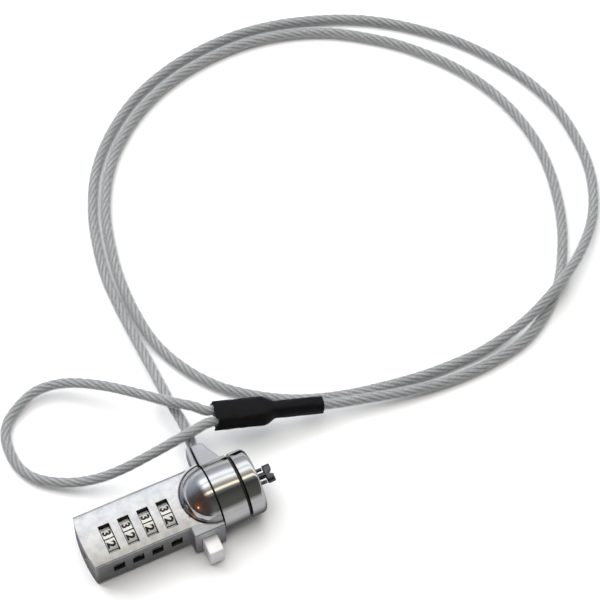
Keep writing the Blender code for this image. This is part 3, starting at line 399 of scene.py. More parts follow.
def housing_chrome():
    """Satin cast chrome, polished to a mirror over the dome, with painted shade in the crease round its foot.
    """
    surface, tree, shader = new_material("satin_chrome_casting")
    shader.inputs["Metallic"].default_value = 1
    place = coordinates(tree)
    reach = distance_to(tree, place, (PARTING_X, 0, AXIS_Z))
    near_dome = fade(tree, reach, ROUND_R + 0.30 * MM, ROUND_R + 0.12 * MM)
    above = fade(tree, apart(tree, place)["Z"], TOP_Z - 0.1 * MM, TOP_Z + 0.1 * MM)
    dome = product(tree, near_dome, above)
    grain = noise_field(tree, 1500, 4, (0.25, 1, 1))
    gloss = add(tree, "ShaderNodeMix")
    gloss.inputs["B"].default_value = 0.05
    tree.links.new(dome, gloss.inputs["Factor"])
    tree.links.new(spread(tree, grain, 0.24, 0.36), gloss.inputs["A"])
    tree.links.new(gloss.outputs["Result"], shader.inputs["Roughness"])
    tint = ramp(tree, noise_field(tree, 420, 6), [(0.32, (0.76, 0.76, 0.78)), (0.62, (0.96, 0.95, 0.93))])
    # Painted shade: the base colour turns near-black in the fillet round the dome's foot, on the top only.
    crease = ramp(tree, fade(tree, reach, ROUND_R, ROUND_R + 1 * MM),
                  [(0.0, (1.0, 1.0, 1.0)), (0.04, (0.12, 0.12, 0.14)),
                   (0.30, (0.20, 0.20, 0.24)), (0.55, (1.0, 1.0, 1.0))])
    tree.links.new(blend(tree, "MULTIPLY", above, tint, crease), shader.inputs["Base Color"])
    flat = add(tree, "ShaderNodeMath", operation="SUBTRACT")
    flat.inputs[0].default_value = 1
    tree.links.new(dome, flat.inputs[1])
    bump(tree, shader, product(tree, grain, flat.outputs["Value"]), 0.25, 0.00003)
    return surface


def dial_metal():
    """Pale cells round the rim, with painted shade: near-black on the sides and in the dividing grooves."""
    surface, tree, shader = new_material("dial_metal")
    place = apart(tree, coordinates(tree))
    flat = add(tree, "ShaderNodeCombineXYZ")
    tree.links.new(place["Y"], flat.inputs["Y"])
    tree.links.new(place["Z"], flat.inputs["Z"])
    reach = distance_to(tree, flat.outputs["Vector"], (0, SPINDLE_Y, SPINDLE_Z))
    # Painted shade: inward of the rim, on the sides and in the grooves between cells, the colour is
    # near-black.
    rim = fade(tree, reach, DIAL_R - 0.28 * MM, DIAL_R - 0.08 * MM)
    tint = ramp(tree, rim, [(0.0, (0.03, 0.03, 0.03)), (1.0, (0.62, 0.61, 0.57))])
    tree.links.new(tint, shader.inputs["Base Color"])
    shader.inputs["Metallic"].default_value = 0.35
    grain = noise_field(tree, 2500, 3, (1, 0.3, 0.3))
    tree.links.new(spread(tree, grain, 0.28, 0.42), shader.inputs["Roughness"])
    bump(tree, shader, grain, 0.1, 0.00002)
    return surface


def plain(name, colour, rough, scale=800, bumps=0.2, depth=0.00003):
    """A plastic or a painted face, darker and lighter with a fine grain."""
    surface, tree, shader = new_material(name)
    grain = noise_field(tree, scale, 4)
    shade = tuple(c * 0.6 for c in colour)
    tree.links.new(ramp(tree, grain, [(0.3, shade), (0.7, colour)]), shader.inputs["Base Color"])
    tree.links.new(spread(tree, grain, rough - 0.06, rough + 0.06), shader.inputs["Roughness"])
    bump(tree, shader, grain, bumps, depth)
    return surface


def rope_metal():
    """Galvanised strands with painted shade between the strands, and fine wires along them."""
    surface, tree, shader = new_material("galvanised_strands")
    shader.inputs["Metallic"].default_value = 0.85
    height = add(tree, "ShaderNodeAttribute", attribute_name="height")
    wires = add(tree, "ShaderNodeTexWave", Scale=1.0, Distortion=1.5, Detail=2.0)
    wires.wave_profile = "SIN"
    wires.bands_direction = "Y"
    chart = add(tree, "ShaderNodeUVMap", uv_map="rope")
    tree.links.new(chart.outputs["UV"], wires.inputs["Vector"])
    # Painted shade: the colour darkens from the strands' crests down into the grooves between them.
    tint = ramp(tree, height.outputs["Fac"], [(0.0, (0.13, 0.14, 0.14)), (0.45, (0.36, 0.37, 0.37)),
                                              (1.0, (0.70, 0.71, 0.71))])
    speckle = ramp(tree, noise_field(tree, 2600, 4), [(0.38, (0.50, 0.52, 0.50)), (0.62, (1.0, 1.0, 1.0))])
    tree.links.new(blend(tree, "MULTIPLY", None, tint, speckle), shader.inputs["Base Color"])
    tree.links.new(spread(tree, wires.outputs["Fac"], 0.22, 0.42), shader.inputs["Roughness"])
    bump(tree, shader, wires.outputs["Fac"], 0.5, 0.00008)
    return surface


def clear_coat():
    """The clear plastic over the rope: mostly see-through, with a gloss."""
    surface, tree, shader = new_material("clear_plastic_coat")
    grain = noise_field(tree, 300, 2)
    tree.links.new(ramp(tree, grain, [(0.3, (0.74, 0.76, 0.78)), (0.7, (0.88, 0.89, 0.90))]),
                   shader.inputs["Base Color"])
    shader.inputs["Roughness"].default_value = 0.12
    shader.inputs["Alpha"].default_value = 0.22
    shader.inputs["Coat Weight"].default_value = 0.6
    return surface


# ---------------------------------------------------------------- head pieces, finer than their solids

def body_section():
    low, far, near = 2.5 * MM, 1.8 * MM, 0.5 * MM
    middle, half = (NEAR_Y + FAR_Y) / 2, (FAR_Y - NEAR_Y) / 2
    points = arc((NEAR_Y + low, low), low, 270, 180, 14)
    points += arc((NEAR_Y + near, TOP_Z - near), near, 180, 90, 4)
    for step in range(-9, 10):
        share = step * 0.085
        points.append((middle + share * half, TOP_Z + CROWN * (1 - share * share)))
    points += arc((FAR_Y - far, TOP_Z - far), far, 90, 0, 10)
    points += arc((FAR_Y - low, low), low, 0, -90, 14)
    return points


def body_plan():
    corner, margin = 1.0 * MM, 1 * MM
    front = HOUSING_FRONT_X + 2 * margin
    middle, half = (NEAR_Y + FAR_Y) / 2, (FAR_Y - NEAR_Y) / 2 - corner
    rear = REAR_X + REAR_BOW
    points = [(front, NEAR_Y - margin), (front, FAR_Y + margin),
              (rear + corner, FAR_Y + margin)]
    points += arc((rear + corner, FAR_Y - corner), corner, 90, 172, 12)
    for step in range(9, -10, -1):
        share = step / 11
        points.append((REAR_X + REAR_BOW * share * share, middle + share * half))
    points += arc((rear + corner, NEAR_Y + corner), corner, 188, 270, 12)
    points += [(rear + corner, NEAR_Y - margin)]
    return points


def fillet_ring():
    rise = TOP_Z + DOME_FILLET - AXIS_Z
    reach = math.sqrt((ROUND_R + DOME_FILLET) ** 2 - rise ** 2)
    touch = math.degrees(math.atan2(-rise, -reach))
    curve = arc((reach, TOP_Z + DOME_FILLET), DOME_FILLET, 360 + touch, 270, 12)
    inner = 9.9 * MM
    profile = [(inner, curve[0][1] - 0.2 * MM)] + curve
    profile += [(reach, TOP_Z - 0.5 * MM), (inner, TOP_Z - 0.5 * MM)]
    return turned("fillet", profile, (PARTING_X, 0, 0), closed=True, axis="Z")


def lug(name, tip, base, flat, round_r):
    """Half of the cable's lug; the two halves meet at the parting plane."""
    side = 1 if tip > flat else -1
    root = FAR_Y - 3.5 * MM
    points = [(flat, root), (flat, EAR_Y)]
    points += arc((tip - side * round_r, EAR_Y - round_r), round_r, 90, 90 - 90 * side, 12)
    points += [(base, FAR_Y - 0.5 * MM), (base, root)]
    return outline(name, points, "XY", LUG_Z - LUG_HALF, TOP_Z)


def dial_middle(index):
    low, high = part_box(f"dial_{index + 1}")
    return (low[0] + high[0]) / 2


def window_spans():
    middles = [dial_middle(index) for index in range(DIAL_COUNT)]
    return [(x - WINDOW_X / 2, x + WINDOW_X / 2) for x in middles]


def window_reach():
    return SPINDLE_Y - WINDOW_Y / 2, SPINDLE_Y + WINDOW_Y / 2


def housing_cuts():
    """The rooms, holes and windows. Each row of windows is one cutter."""
    inner_r = ROUND_R - DOME_WALL
    hollow = [(0, -1.5 * MM)] + [(r, -z) for r, z in arc((0, 0), inner_r, 9, 90, 9)[:-1]] + [(0, -inner_r)]
    spans = window_spans()
    return [box("front", (HOUSING_FRONT_X, 40 * MM), (-20 * MM, 30 * MM), (-5 * MM, 40 * MM)),
            turned("hollow", hollow, (PARTING_X, 0, AXIS_Z), 48),
            box("dial_room", DIAL_ROOM_X, DIAL_ROOM_Y, ROOM_Z),
            box("works_room", WORKS_ROOM_X, WORKS_ROOM_Y, ROOM_Z),
            box("seat", COVER_X, COVER_Y, (-1 * MM, COVER_TOP_Z)),
            box("slot", BUTTON_SLOT_X, (-14 * MM, -7 * MM), BUTTON_SLOT_Z),
            cylinder("reset_hole", "X", (SPINDLE_Y, SPINDLE_Z), RESET_HOLE_R, -36 * MM, -30 * MM),
            cylinder("shaft_hole", "X", (0, AXIS_Z), SHAFT_HOLE_R, 9 * MM, 13 * MM),
            cylinder("cable_hole", "Y", (LUG_X, LUG_Z), CABLE_HOLE_R, 5.9 * MM, 20 * MM),
            boxes("top_windows", [(span, window_reach(), (13 * MM, 18 * MM)) for span in spans]),
            boxes("side_windows", [(span, (-12 * MM, -7 * MM), SIDE_WINDOW_Z) for span in spans])]


def housing_shape():
    body = outline("body", body_section(), "YZ", REAR_X - 1 * MM, HOUSING_FRONT_X + 1 * MM)
    plan = outline("plan", body_plan(), "XY", -1 * MM, 20 * MM)
    boolean(body, [plan], "INTERSECT")
    bevel(body, 0.45 * MM, 4, 50)
    block = box("block", (BLOCK_X, HOUSING_FRONT_X + 1 * MM), (BLOCK_Y, NEAR_Y + 2 * MM),
                (0.9 * MM, TOP_Z))
    bevel(block, 0.5 * MM)
    quarter = arc((0, 0), ROUND_R, 0, 90, 40)
    dome = turned("dome", [(0, 1 * MM), (ROUND_R, 1 * MM)] + [(r, -z) for r, z in quarter[:-1]]
                  + [(0, -ROUND_R)], (PARTING_X, 0, AXIS_Z))
    rear_lug = lug("rear_lug", PARTING_X - 1.4 * MM, PARTING_X - 1.9 * MM, PARTING_X + 1 * MM, 0.8 * MM)
    bevel(rear_lug, 0.3 * MM, 3)
    joined = [block, dome, fillet_ring(), rear_lug]
    cuts = housing_cuts()
    boolean(body, joined, "UNION")
    boolean(body, cuts, "DIFFERENCE")
    return settle(body, "housing_casting", [plan] + joined + cuts)


def inside_housing(face, spans):
    """True on the walls of the rooms, the windows and the seam, which get painted shade: a near-black
    material.
    """
    x, y, z = face.center
    fine = 0.1 * MM
    in_room = (within(x, (DIAL_ROOM_X[0], WORKS_ROOM_X[1]), 2 * fine)
               and within(y, (DIAL_ROOM_Y[0], WORKS_ROOM_Y[1]), fine) and within(z, ROOM_Z, fine))
    by_dials = within(x, (spans[0][0], spans[-1][1]), fine)
    in_top = by_dials and abs(face.normal.z) < 0.5 and within(y, window_reach(), fine) and z > 13 * MM
    in_side = by_dials and NEAR_Y + fine < y < DIAL_ROOM_Y[0] + fine and within(z, SIDE_WINDOW_Z, fine)
    in_seam = x > PARTING_X - 4 * fine and abs(face.normal.x) > 0.5
    return in_room or in_seam or in_top or in_side


def make_housing():
    housing = housing_shape()
    sliced(housing, "X", REAR_X + 1.2 * MM, 11 * MM, 0.9 * MM)
    sliced(housing, "Z", 3 * MM, 14.6 * MM, 1.1 * MM)
    even = housing.modifiers.new("even shading", "WEIGHTED_NORMAL")
    even.keep_sharp = True
    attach(housing, "head")
    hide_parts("housing")
    housing.data.materials.append(housing_chrome())
    # Painted shade: a near-black material for the walls inside the rooms, windows and seam.
    housing.data.materials.append(plain("casting_inside_painted_shade", (0.03, 0.03, 0.03), 0.6))
    housing.data.materials.append(metal("dull_chrome", (0.68, 0.69, 0.71), 0.38, 0.06, scale=1500))
    spans = window_spans()
    for face in housing.data.polygons:
        on_lug = face.center.y > FAR_Y + 0.3 * MM
        on_block = face.center.y < NEAR_Y - 0.4 * MM
        if inside_housing(face, spans):
            face.material_index = 1
        elif on_lug or on_block:
            face.material_index = 2


def crisp_edge(station, side):
    """The three points of a turned band's small rounded edge, from its rim to its face."""
    edge, nick, rise = 0.12 * MM, 0.03 * MM, 0.04 * MM
    return [(ROUND_R, station + side * edge), (ROUND_R - nick, station + side * rise),
            (ROUND_R - edge, station)]


def make_collar(surface):
    bore_r, spigot_r = 5.0 * MM, 10.4 * MM
    profile = [(bore_r, COLLAR_X)] + crisp_edge(COLLAR_X, -1)[::-1] + crisp_edge(COLLAR_REAR_X, 1)
    profile += [(spigot_r, COLLAR_REAR_X), (spigot_r, PARTING_X), (bore_r, PARTING_X)]
    collar = turned("collar", profile, (0, 0, AXIS_Z), closed=True)
    front_lug = lug("front_lug", PARTING_X + 5.1 * MM, PARTING_X + 7.8 * MM, COLLAR_REAR_X, 2.2 * MM)
    middle = cylinder("middle", "X", (0, AXIS_Z), ROUND_R - 3.3 * MM, 11 * MM, 21 * MM)
    boolean(front_lug, [middle], "DIFFERENCE")
    bevel(front_lug, 0.4 * MM, 3)
    holes = [cylinder("cable_hole", "Y", (LUG_X, LUG_Z), CABLE_HOLE_R, 10 * MM, 20 * MM),
             cylinder("stop_room", "Y", (LUG_X, LUG_Z), STOP_ROOM_R, 5.9 * MM, 10.6 * MM)]
    boolean(collar, [front_lug], "UNION")
    boolean(collar, holes, "DIFFERENCE")
    collar = settle(collar, "collar_casting", [front_lug, middle] + holes)
    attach(collar, "head")
    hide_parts("front_collar")
    collar.data.materials.append(surface)
    # Painted shade: near-black for the collar's faces at the parting plane and inside it.
    collar.data.materials.append(plain("seam_painted_shade", (0.02, 0.02, 0.02), 0.6))
    collar.data.materials.append(metal("dull_collar_chrome", (0.68, 0.69, 0.71), 0.38, 0.06, scale=1500))
    for face in collar.data.polygons:
        x, y, z = face.center
        inside = math.hypot(y, z - AXIS_Z) < ROUND_R - 0.6 * MM
        if x < PARTING_X + 0.5 * MM and (inside or abs(face.normal.x) > 0.5):
            face.material_index = 1
        elif y > ROUND_R + 0.2 * MM:
            face.material_index = 2


def make_nose_ring(surface):
    step_r, step_x, round_r = 8.5 * MM, RING_FRONT_X - 1.5 * MM, 1.6 * MM
    rear = RING_X + 0.02 * MM
    profile = [(RING_BORE_R, step_x), (step_r, step_x), (step_r, RING_FRONT_X)]
    profile += arc((ROUND_R - round_r, RING_FRONT_X - round_r), round_r, 90, 0, 16)
    profile += crisp_edge(rear, 1) + [(RING_BORE_R, rear)]
    ring = settle(turned("ring", profile, (0, 0, AXIS_Z), closed=True), "nose_ring_turned", [])
    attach(ring, "nose_ring")
    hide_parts("nose_ring")
    ring.data.materials.append(surface)


def softened(name, body, width, surface):
    """A copy of a CAD piece with its edges rounded a little."""
    shape = bmesh.new()
    shape.from_mesh(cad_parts[name].data)
    bmesh.ops.remove_doubles(shape, verts=shape.verts, dist=0.0000005)
    bmesh.ops.dissolve_limit(shape, angle_limit=math.radians(1), verts=shape.verts, edges=shape.edges)
    piece = from_bmesh(name + "_rounded", shape)
    bevel(piece, width, 4, 30)
    piece = settle(piece, name + "_rounded", [])
    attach(piece, body)
    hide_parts(name)
    piece.data.materials.clear()
    piece.data.materials.append(surface)


# ---------------------------------------------------------------- digits on the dials

def flat_figure(name, digit):
    """One bold figure, flat in XY, cut across so that it can be bent."""
    data = bpy.data.curves.new("figure", "FONT")
    data.body = str(digit)
    data.size = 3.9 * MM
    data.offset = 0.17 * MM
    data.align_x = "CENTER"
    data.align_y = "CENTER"
    figure = solid_copy(link(bpy.data.objects.new("figure_text", data)), name)
    shape = bmesh.new()
    shape.from_mesh(figure.data)
    for strip in range(-8, 9):
        cut_across(shape, (strip * 0.3 * MM, 0, 0), (1, 0, 0))
    return figure, shape


def make_digits(ink):
    """Black figures wrapped round each rim, their heads towards the nose: 3 beyond the top, 2 before it."""
    rim, widening = DIAL_R + 0.02 * MM, 1.05
    for index in range(DIAL_COUNT):
        x = dial_middle(index)
        for digit in range(10):
            figure, shape = flat_figure(f"dial_{index + 1}_figure_{digit}", digit)
            middle = math.radians(72 - (digit - 3) * 36)
            heights = [v.co.y for v in shape.verts]
            centre = (min(heights) + max(heights)) / 2
            for v in shape.verts:
                angle = middle + v.co.x * widening / DIAL_R
                v.co = Vector((x + (v.co.y - centre), SPINDLE_Y + rim * math.cos(angle),
                               SPINDLE_Z + rim * math.sin(angle)))
            bmesh.ops.recalc_face_normals(shape, faces=shape.faces)
            shape.to_mesh(figure.data)
            shape.free()
            figure.data.materials.append(ink)
            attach(figure, f"dial_{index + 1}")


# ---------------------------------------------------------------- rope

def sleeve_frame():
    length = SLEEVE_END - SLEEVE_START
    forward = length.normalized()
    wide = Vector((-forward.y, forward.x, 0)).normalized()
    up = forward.cross(wide)
    return Matrix.Translation(SLEEVE_START) @ Matrix((forward, wide, up)).transposed().to_4x4(), length.length


def cable_route():
    """One rope: out of the lug, round twice, through the sleeve, round the eye and back into the sleeve."""
    place, length = sleeve_frame()
    points = [Vector(p) * MM for p in MAIN_ROUTE]
    points += [place @ Vector((length + 4 * MM, 0, 0)), place @ Vector((length - 6 * MM, 0, 0)),
               place @ Vector((SLEEVE_FAT + 2 * MM, 0.4 * MM, 0)), place @ Vector((9 * MM, STRAND_OFFSET, 0)),
               place @ Vector((2.8 * MM, STRAND_OFFSET, 0)),
               place @ Vector((-2.5 * MM, STRAND_OFFSET + 0.1 * MM, 0.1 * MM))]
    points += [Vector(p) * MM for p in EYE_ROUTE]
    points += [place @ Vector((-2.5 * MM, -STRAND_OFFSET - 0.1 * MM, 0.1 * MM)),
               place @ Vector((2.8 * MM, -STRAND_OFFSET, 0)), place @ Vector((9 * MM, -STRAND_OFFSET, 0))]
    return points


def frames_along(points):
    """A steady pair of side directions at each point, carried along the route."""
    tangents = np.gradient(points, axis=0)
    tangents /= np.linalg.norm(tangents, axis=1)[:, None]
    side = np.cross(tangents[0], (0, 0, 1))
    sides = []
    for tangent in tangents:
        side = side - tangent * np.dot(side, tangent)
        side = side / np.linalg.norm(side)
        sides.append(side)
    sides = np.array(sides)
    return sides, np.cross(tangents, sides)


def make_rope():
    """Six strands laid round a core, as one lobed and twisted surface."""
    strands, per_strand, lay = 6, 8, 20 * MM
    core = 0.565 * MM
    points, stations = smooth_route(cable_route(), 0.8 * MM)
    first, second = frames_along(points)
    count = strands * per_strand
    local = (np.arange(count) % per_strand) / per_strand * (2 * math.pi / strands) - math.pi / strands
    reach = 2 * core * np.cos(local) + np.sqrt(np.maximum(core ** 2 - (2 * core * np.sin(local)) ** 2, 0))
    turn = 2 * math.pi * np.arange(count) / count
    angle = turn[None, :] + 2 * math.pi * stations[:, None] / lay
    ring = np.cos(angle)[..., None] * first[:, None, :] + np.sin(angle)[..., None] * second[:, None, :]
    verts = (points[:, None, :] + ring * reach[None, :, None]).reshape(-1, 3)
    rows = np.arange(len(points) - 1)[:, None] * count
    k = np.arange(count)[None, :]
    after = (k + 1) % count
    faces = np.stack([rows + k, rows + after, rows + count + after, rows + count + k], axis=-1).reshape(-1, 4)
    mesh = bpy.data.meshes.new("rope_strands")
    mesh.from_pydata(verts.tolist(), [], faces.tolist())
    low, high = reach.min(), reach.max()
    # How far each point stands out; the rope's material paints shade from it into the grooves between
    # strands.
    height = mesh.attributes.new("height", "FLOAT", "POINT")
    height.data.foreach_set("value", np.tile((reach - low) / (high - low), len(points)))
    chart = mesh.uv_layers.new(name="rope")
    wire_length, wire_width = 6 * MM, 0.9
    along_rope = np.repeat(stations[:-1] / wire_length, count)
    along_next = np.repeat(stations[1:] / wire_length, count)
    round_rope = np.tile(np.arange(count) * wire_width, len(points) - 1)
    round_next = round_rope + wire_width
    uv = np.stack([along_rope, round_rope, along_rope, round_next, along_next, round_next,
                   along_next, round_rope], axis=-1)
    chart.data.foreach_set("uv", uv.reshape(-1))
    mesh.shade_smooth()
    rope = link(bpy.data.objects.new("rope_strands", mesh))
    rope.data.materials.append(rope_metal())
    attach(rope, "head")
    return rope


def make_coat():
    points, stations = smooth_route(cable_route(), 2.0 * MM)
    data = bpy.data.curves.new("rope_coat", "CURVE")
    data.dimensions = "3D"
    data.bevel_depth = CABLE_R
    data.bevel_resolution = 6
    data.use_fill_caps = True
    spline = data.splines.new("POLY")
    spline.points.add(len(points) - 1)
    for point, place in zip(spline.points, points):
        point.co = (*place, 1)
    data.materials.append(clear_coat())
    coat = link(bpy.data.objects.new("rope_coat", data))
    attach(coat, "head")
    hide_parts("cable_main", "cable_eye")


def sleeve_ring(shape, place, station, inset, around):
    """One ring of the sleeve's skin, oval and wrinkled, with the end at the eye torn."""
    share = min(max((station - SLEEVE_FAT) / SLEEVE_TAPER, 0), 1)
    share = share * share * (3 - 2 * share)
    slim = 6.1 * MM
    width = 10.4 * MM * (1 - share) + slim * share
    tall = 6.9 * MM * (1 - share) + slim * share
    ring = []
    for k in range(around):
        angle = 2 * math.pi * (k + 0.5) / around
        across, up = math.cos(angle), math.sin(angle)
        flat = (width - tall) / 2 * (1 if across > 0 else -1)
        soft = flat * min(1, abs(across) * 6)
        wave = noise.noise(Vector((station * 260, across * 1.6, up * 1.6)))
        crease = noise.noise(Vector((station * 900, across * 2.5, up * 2.5 + 7)))
        radius = tall / 2 - inset
        radius += -abs(wave) * 0.22 * MM - max(crease, 0) * 0.10 * MM
        tear = math.sin(3 * angle + 1) + 0.7 * math.sin(7 * angle) + 0.4 * math.sin(13 * angle + 2)
        ragged = 0.45 * MM * tear * math.exp(-station / (2.0 * MM))
        ring.append(shape.verts.new(place @ Vector((station + ragged, soft + radius * across, radius * up))))
    return ring


def make_sleeve():
    """Black heat-shrink over the crimp: fat and oval at the eye, slim at the rope, a little wrinkled."""
    place, length = sleeve_frame()
    around, wall = 64, 0.6 * MM
    shape = bmesh.new()
    outer, inner = [], []
    for station in np.linspace(0, length, 150):
        outer.append(sleeve_ring(shape, place, station, 0, around))
        inner.append(sleeve_ring(shape, place, station, wall, around))
    for rings in (outer, inner):
        for near, far in zip(rings, rings[1:]):
            for k in range(around):
                after = (k + 1) % around
                shape.faces.new((near[k], near[after], far[after], far[k]))
    for end in (0, -1):
        for k in range(around):
            after = (k + 1) % around
            shape.faces.new((outer[end][k], outer[end][after], inner[end][after], inner[end][k]))
    bmesh.ops.recalc_face_normals(shape, faces=shape.faces)
    sleeve = from_bmesh("shrink_sleeve", shape)
    sleeve.data.shade_smooth()
    sleeve.data.set_sharp_from_angle(angle=math.radians(50))
    black = plain("black_heat_shrink", (0.005, 0.005, 0.006), 0.5, 500, 0.3, 0.00006)
    black.node_tree.nodes["Principled BSDF"].inputs["Specular IOR Level"].default_value = 0.18
    sleeve.data.materials.append(black)
    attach(sleeve, "head")
    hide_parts("shrink_tube")
    return sleeve


# ---------------------------------------------------------------- studio

def make_camera():
    """The view from the button side, well above: long lens, lock at the lower left, rope above it."""
    azimuth, elevation, distance = math.radians(24.66), math.radians(63.0), 0.966
    target = Vector((71.1, 59.6, 0)) * MM
    ahead = Vector((math.sin(azimuth) * math.cos(elevation), math.cos(azimuth) * math.cos(elevation),
                    -math.sin(elevation)))
    data = bpy.data.cameras.new("camera")
    data.lens = 167
    data.sensor_width = 36
    data.clip_start = 0.01
    camera = link(bpy.data.objects.new("camera", data))
    camera.location = target - ahead * distance
    camera.rotation_euler = ahead.to_track_quat("-Z", "Y").to_euler()
    bpy.context.scene.camera = camera


def make_world():
    """A studio seen in the chrome: bands by angle about X, a dark room to the rear and a warm lamp in it.

    The bands run from the far side's horizon over the top: a soft box, a streak overhead, dark before.
    """
    world = bpy.data.worlds.new("studio")
    bpy.context.scene.world = world
    world.use_nodes = True
    tree = world.node_tree
    place = coordinates(tree, "Generated")
    way = apart(tree, place)
    angle = add(tree, "ShaderNodeMath", operation="ARCTAN2")
    tree.links.new(way["Z"], angle.inputs[0])
    tree.links.new(way["Y"], angle.inputs[1])
    turn = add(tree, "ShaderNodeMath", operation="MULTIPLY")
    turn.inputs[1].default_value = 1 / math.pi
    tree.links.new(angle.outputs["Value"], turn.inputs[0])
    bands = [(0, (0.62, 0.62, 0.66)), (6, (0.62, 0.62, 0.66)), (14, (0.34, 0.37, 0.38)),
             (32, (0.48, 0.50, 0.58)), (44, (1.15, 1.17, 1.20)), (51, (1.15, 1.18, 1.22)),
             (58, (0.72, 0.80, 0.92)), (64, (1.15, 1.17, 1.20)), (70, (1.10, 1.09, 1.05)),
             (76, (0.60, 0.58, 0.54)), (82, (0.36, 0.34, 0.34)),
             (88, (0.36, 0.33, 0.28)), (91, (1.20, 1.16, 0.95)), (96, (1.20, 1.16, 0.95)),
             (101, (0.20, 0.20, 0.19)), (112, (0.05, 0.05, 0.055)), (133, (0.08, 0.08, 0.075)),
             (162, (0.10, 0.10, 0.095)), (172, (0.34, 0.34, 0.34)), (180, (0.52, 0.52, 0.55))]
    sky = ramp(tree, turn.outputs["Value"], [(degrees / 180, colour) for degrees, colour in bands])
    rearward = fade(tree, way["X"], -0.18, -0.52, "SMOOTHSTEP")
    room = ramp(tree, fade(tree, way["Y"], -1, 1),
                [(0.0, (0.05, 0.045, 0.045)), (0.45, (0.07, 0.04, 0.03)), (0.62, (0.08, 0.075, 0.08)),
                 (0.85, (0.26, 0.29, 0.34)), (1.0, (0.42, 0.46, 0.52))])
    around = blend(tree, "MIX", rearward, sky, room)
    lamp = ramp(tree, distance_to(tree, place, (-0.88, -0.37, 0.31)),
                [(0.0, (3.0, 1.5, 0.5)), (0.03, (1.8, 0.7, 0.2)), (0.07, (0.09, 0.03, 0.01)),
                 (0.30, (0.0, 0.0, 0.0))])
    lit = blend(tree, "ADD", None, around, lamp)
    tree.links.new(lit, tree.nodes["Background"].inputs["Color"])


def make_floor():
    """A pale floor. For rays mirrored off the metal it glows instead, with a painted shadow: dark close to
    the lock, paler further out.
    """
    shape = bmesh.new()
    bmesh.ops.create_grid(shape, x_segments=1, y_segments=1, size=2.5)
    floor = from_bmesh("floor", shape)
    floor.location = (0, 0, -0.1 * MM)
    surface, tree, shader = new_material("pale_floor")
    shader.inputs["Roughness"].default_value = 0.9
    shader.inputs["Base Color"].default_value = (0.95, 0.95, 0.95, 1)
    shader.inputs["Specular IOR Level"].default_value = 0.0
    folded = add(tree, "ShaderNodeVectorMath", operation="ABSOLUTE")
    outside = add(tree, "ShaderNodeVectorMath", operation="SUBTRACT")
    outside.inputs[1].default_value = (30 * MM, 9.5 * MM, 0)
    kept = add(tree, "ShaderNodeVectorMath", operation="MAXIMUM")
    reach = add(tree, "ShaderNodeVectorMath", operation="LENGTH")
    tree.links.new(coordinates(tree), folded.inputs[0])
    tree.links.new(folded.outputs["Vector"], outside.inputs[0])
    tree.links.new(outside.outputs["Vector"], kept.inputs[0])
    tree.links.new(kept.outputs["Vector"], reach.inputs[0])
    # Painted shadow: the glow that the metal mirrors is near-black close to the lock and paler further out.
    painted_shadow_in_reflection = ramp(tree, fade(tree, reach.outputs["Value"], 0, 60 * MM),
                [(0.0, (0.07, 0.07, 0.07)), (0.08, (0.12, 0.12, 0.12)), (0.16, (0.30, 0.30, 0.31)),
                 (0.3, (0.50, 0.50, 0.53)), (0.8, (0.55, 0.55, 0.57)), (1.0, (0.50, 0.50, 0.52))])
    glow = add(tree, "ShaderNodeEmission")
    tree.links.new(painted_shadow_in_reflection, glow.inputs["Color"])
    ray = add(tree, "ShaderNodeLightPath")
    choice = add(tree, "ShaderNodeMixShader")
    tree.links.new(ray.outputs["Is Glossy Ray"], choice.inputs["Fac"])
    tree.links.new(shader.outputs["BSDF"], choice.inputs[1])
    tree.links.new(glow.outputs["Emission"], choice.inputs[2])
    tree.links.new(choice.outputs["Shader"], tree.nodes["Material Output"].inputs["Surface"])
    floor.data.materials.append(surface)


def add_light(name, place, size, power, colour=(1, 1, 1)):
    """A soft light that shades and casts shadows but isn't mirrored in the metal."""
    aim = Vector((50, 60, 0)) * MM
    data = bpy.data.lights.new(name, "AREA")
    data.shape = "RECTANGLE"
    data.size, data.size_y = size
    data.energy = power
    data.color = colour
    light = link(bpy.data.objects.new(name, data))
    light.location = place
    light.rotation_euler = (aim - Vector(place)).to_track_quat("-Z", "Y").to_euler()
    light.visible_glossy = False


def make_lights():
    add_light("overhead_box", (0.0, 0.25, 1.1), (1.2, 1.2), 14)
    add_light("rear_box", (-0.5, 0.8, 0.7), (0.8, 0.8), 7, (0.95, 0.97, 1.0))


# ---------------------------------------------------------------- the whole scene

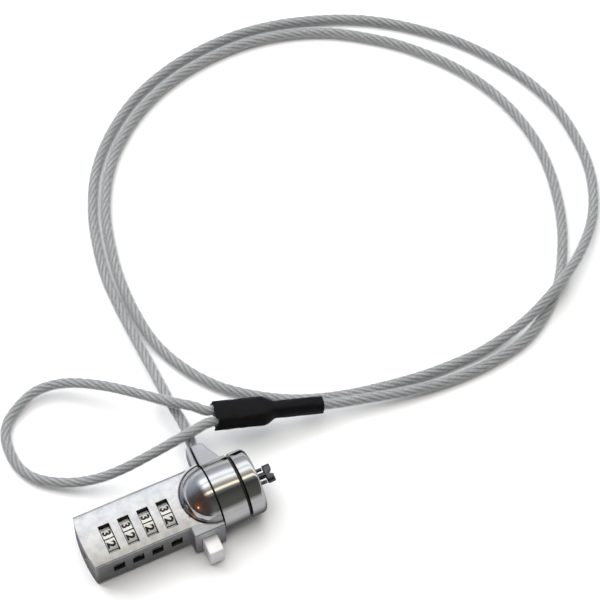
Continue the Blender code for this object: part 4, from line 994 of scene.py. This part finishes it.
def colour_nodes():
    """Materials of the CAD pieces that stay as they are; gives back the bright chrome."""
    bright = metal("bright_chrome", (0.84, 0.83, 0.81), 0.055, 0.015, (0.2, 1, 1), 1200, bumps=0.03)
    satin = metal("satin_button", (0.93, 0.93, 0.92), 0.34, 0.05, scale=1500)
    satin.node_tree.nodes["Principled BSDF"].inputs["Metallic"].default_value = 0.35
    steel = metal("dark_steel", (0.14, 0.14, 0.15), 0.26, 0.06, scale=1600)
    spring = metal("spring_steel", (0.60, 0.60, 0.62), 0.28, 0.06, scale=1600)
    brass = metal("turned_brass", (0.62, 0.40, 0.13), 0.28, 0.08, (1, 0.3, 0.3), 1800,
                  dark=(0.34, 0.20, 0.07), bumps=0.3)
    alloy = metal("ferrule_alloy", (0.62, 0.62, 0.63), 0.35, 0.06)
    dial = dial_metal()
    # Painted shade: the groove washer is near-black, standing in for the dark recess between collar and nose
    # ring.
    washer = plain("washer_painted_groove_shade", (0.02, 0.02, 0.02), 0.5)
    choices = {"nose_boss": steel, "pinion": spring, "retaining_clip": spring, "button_spring": spring,
               "spindle": spring, "detent_spring": spring, "reset_plate": spring, "reset_spring": spring,
               "reset_screw": brass, "crimp_sleeve": alloy, "cable_stop": alloy, "groove_washer": washer,
               "base_cover": bright}
    for name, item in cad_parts.items():
        surface = choices.get(name)
        if name.startswith("dial_"):
            surface = dial
        elif name.startswith("hub_"):
            surface = brass
        elif name.startswith(("cover_screw", "collar_screw", "anti_rotation_pin")):
            surface = steel
        if surface:
            item.data.materials.clear()
            item.data.materials.append(surface)
    softened("push_button", "button", 0.45 * MM, satin)
    softened("t_bar", "t_bar", 0.55 * MM, steel)
    return bright


def main():
    bpy.context.scene.view_settings.view_transform = "Standard"
    make_camera()
    rope = make_rope()
    sleeve = make_sleeve()
    make_coat()
    bright = colour_nodes()
    make_housing()
    make_collar(bright)
    make_nose_ring(bright)
    make_digits(plain("figure_ink", (0.01, 0.01, 0.01), 0.4))
    make_world()
    make_floor()
    make_lights()


main()
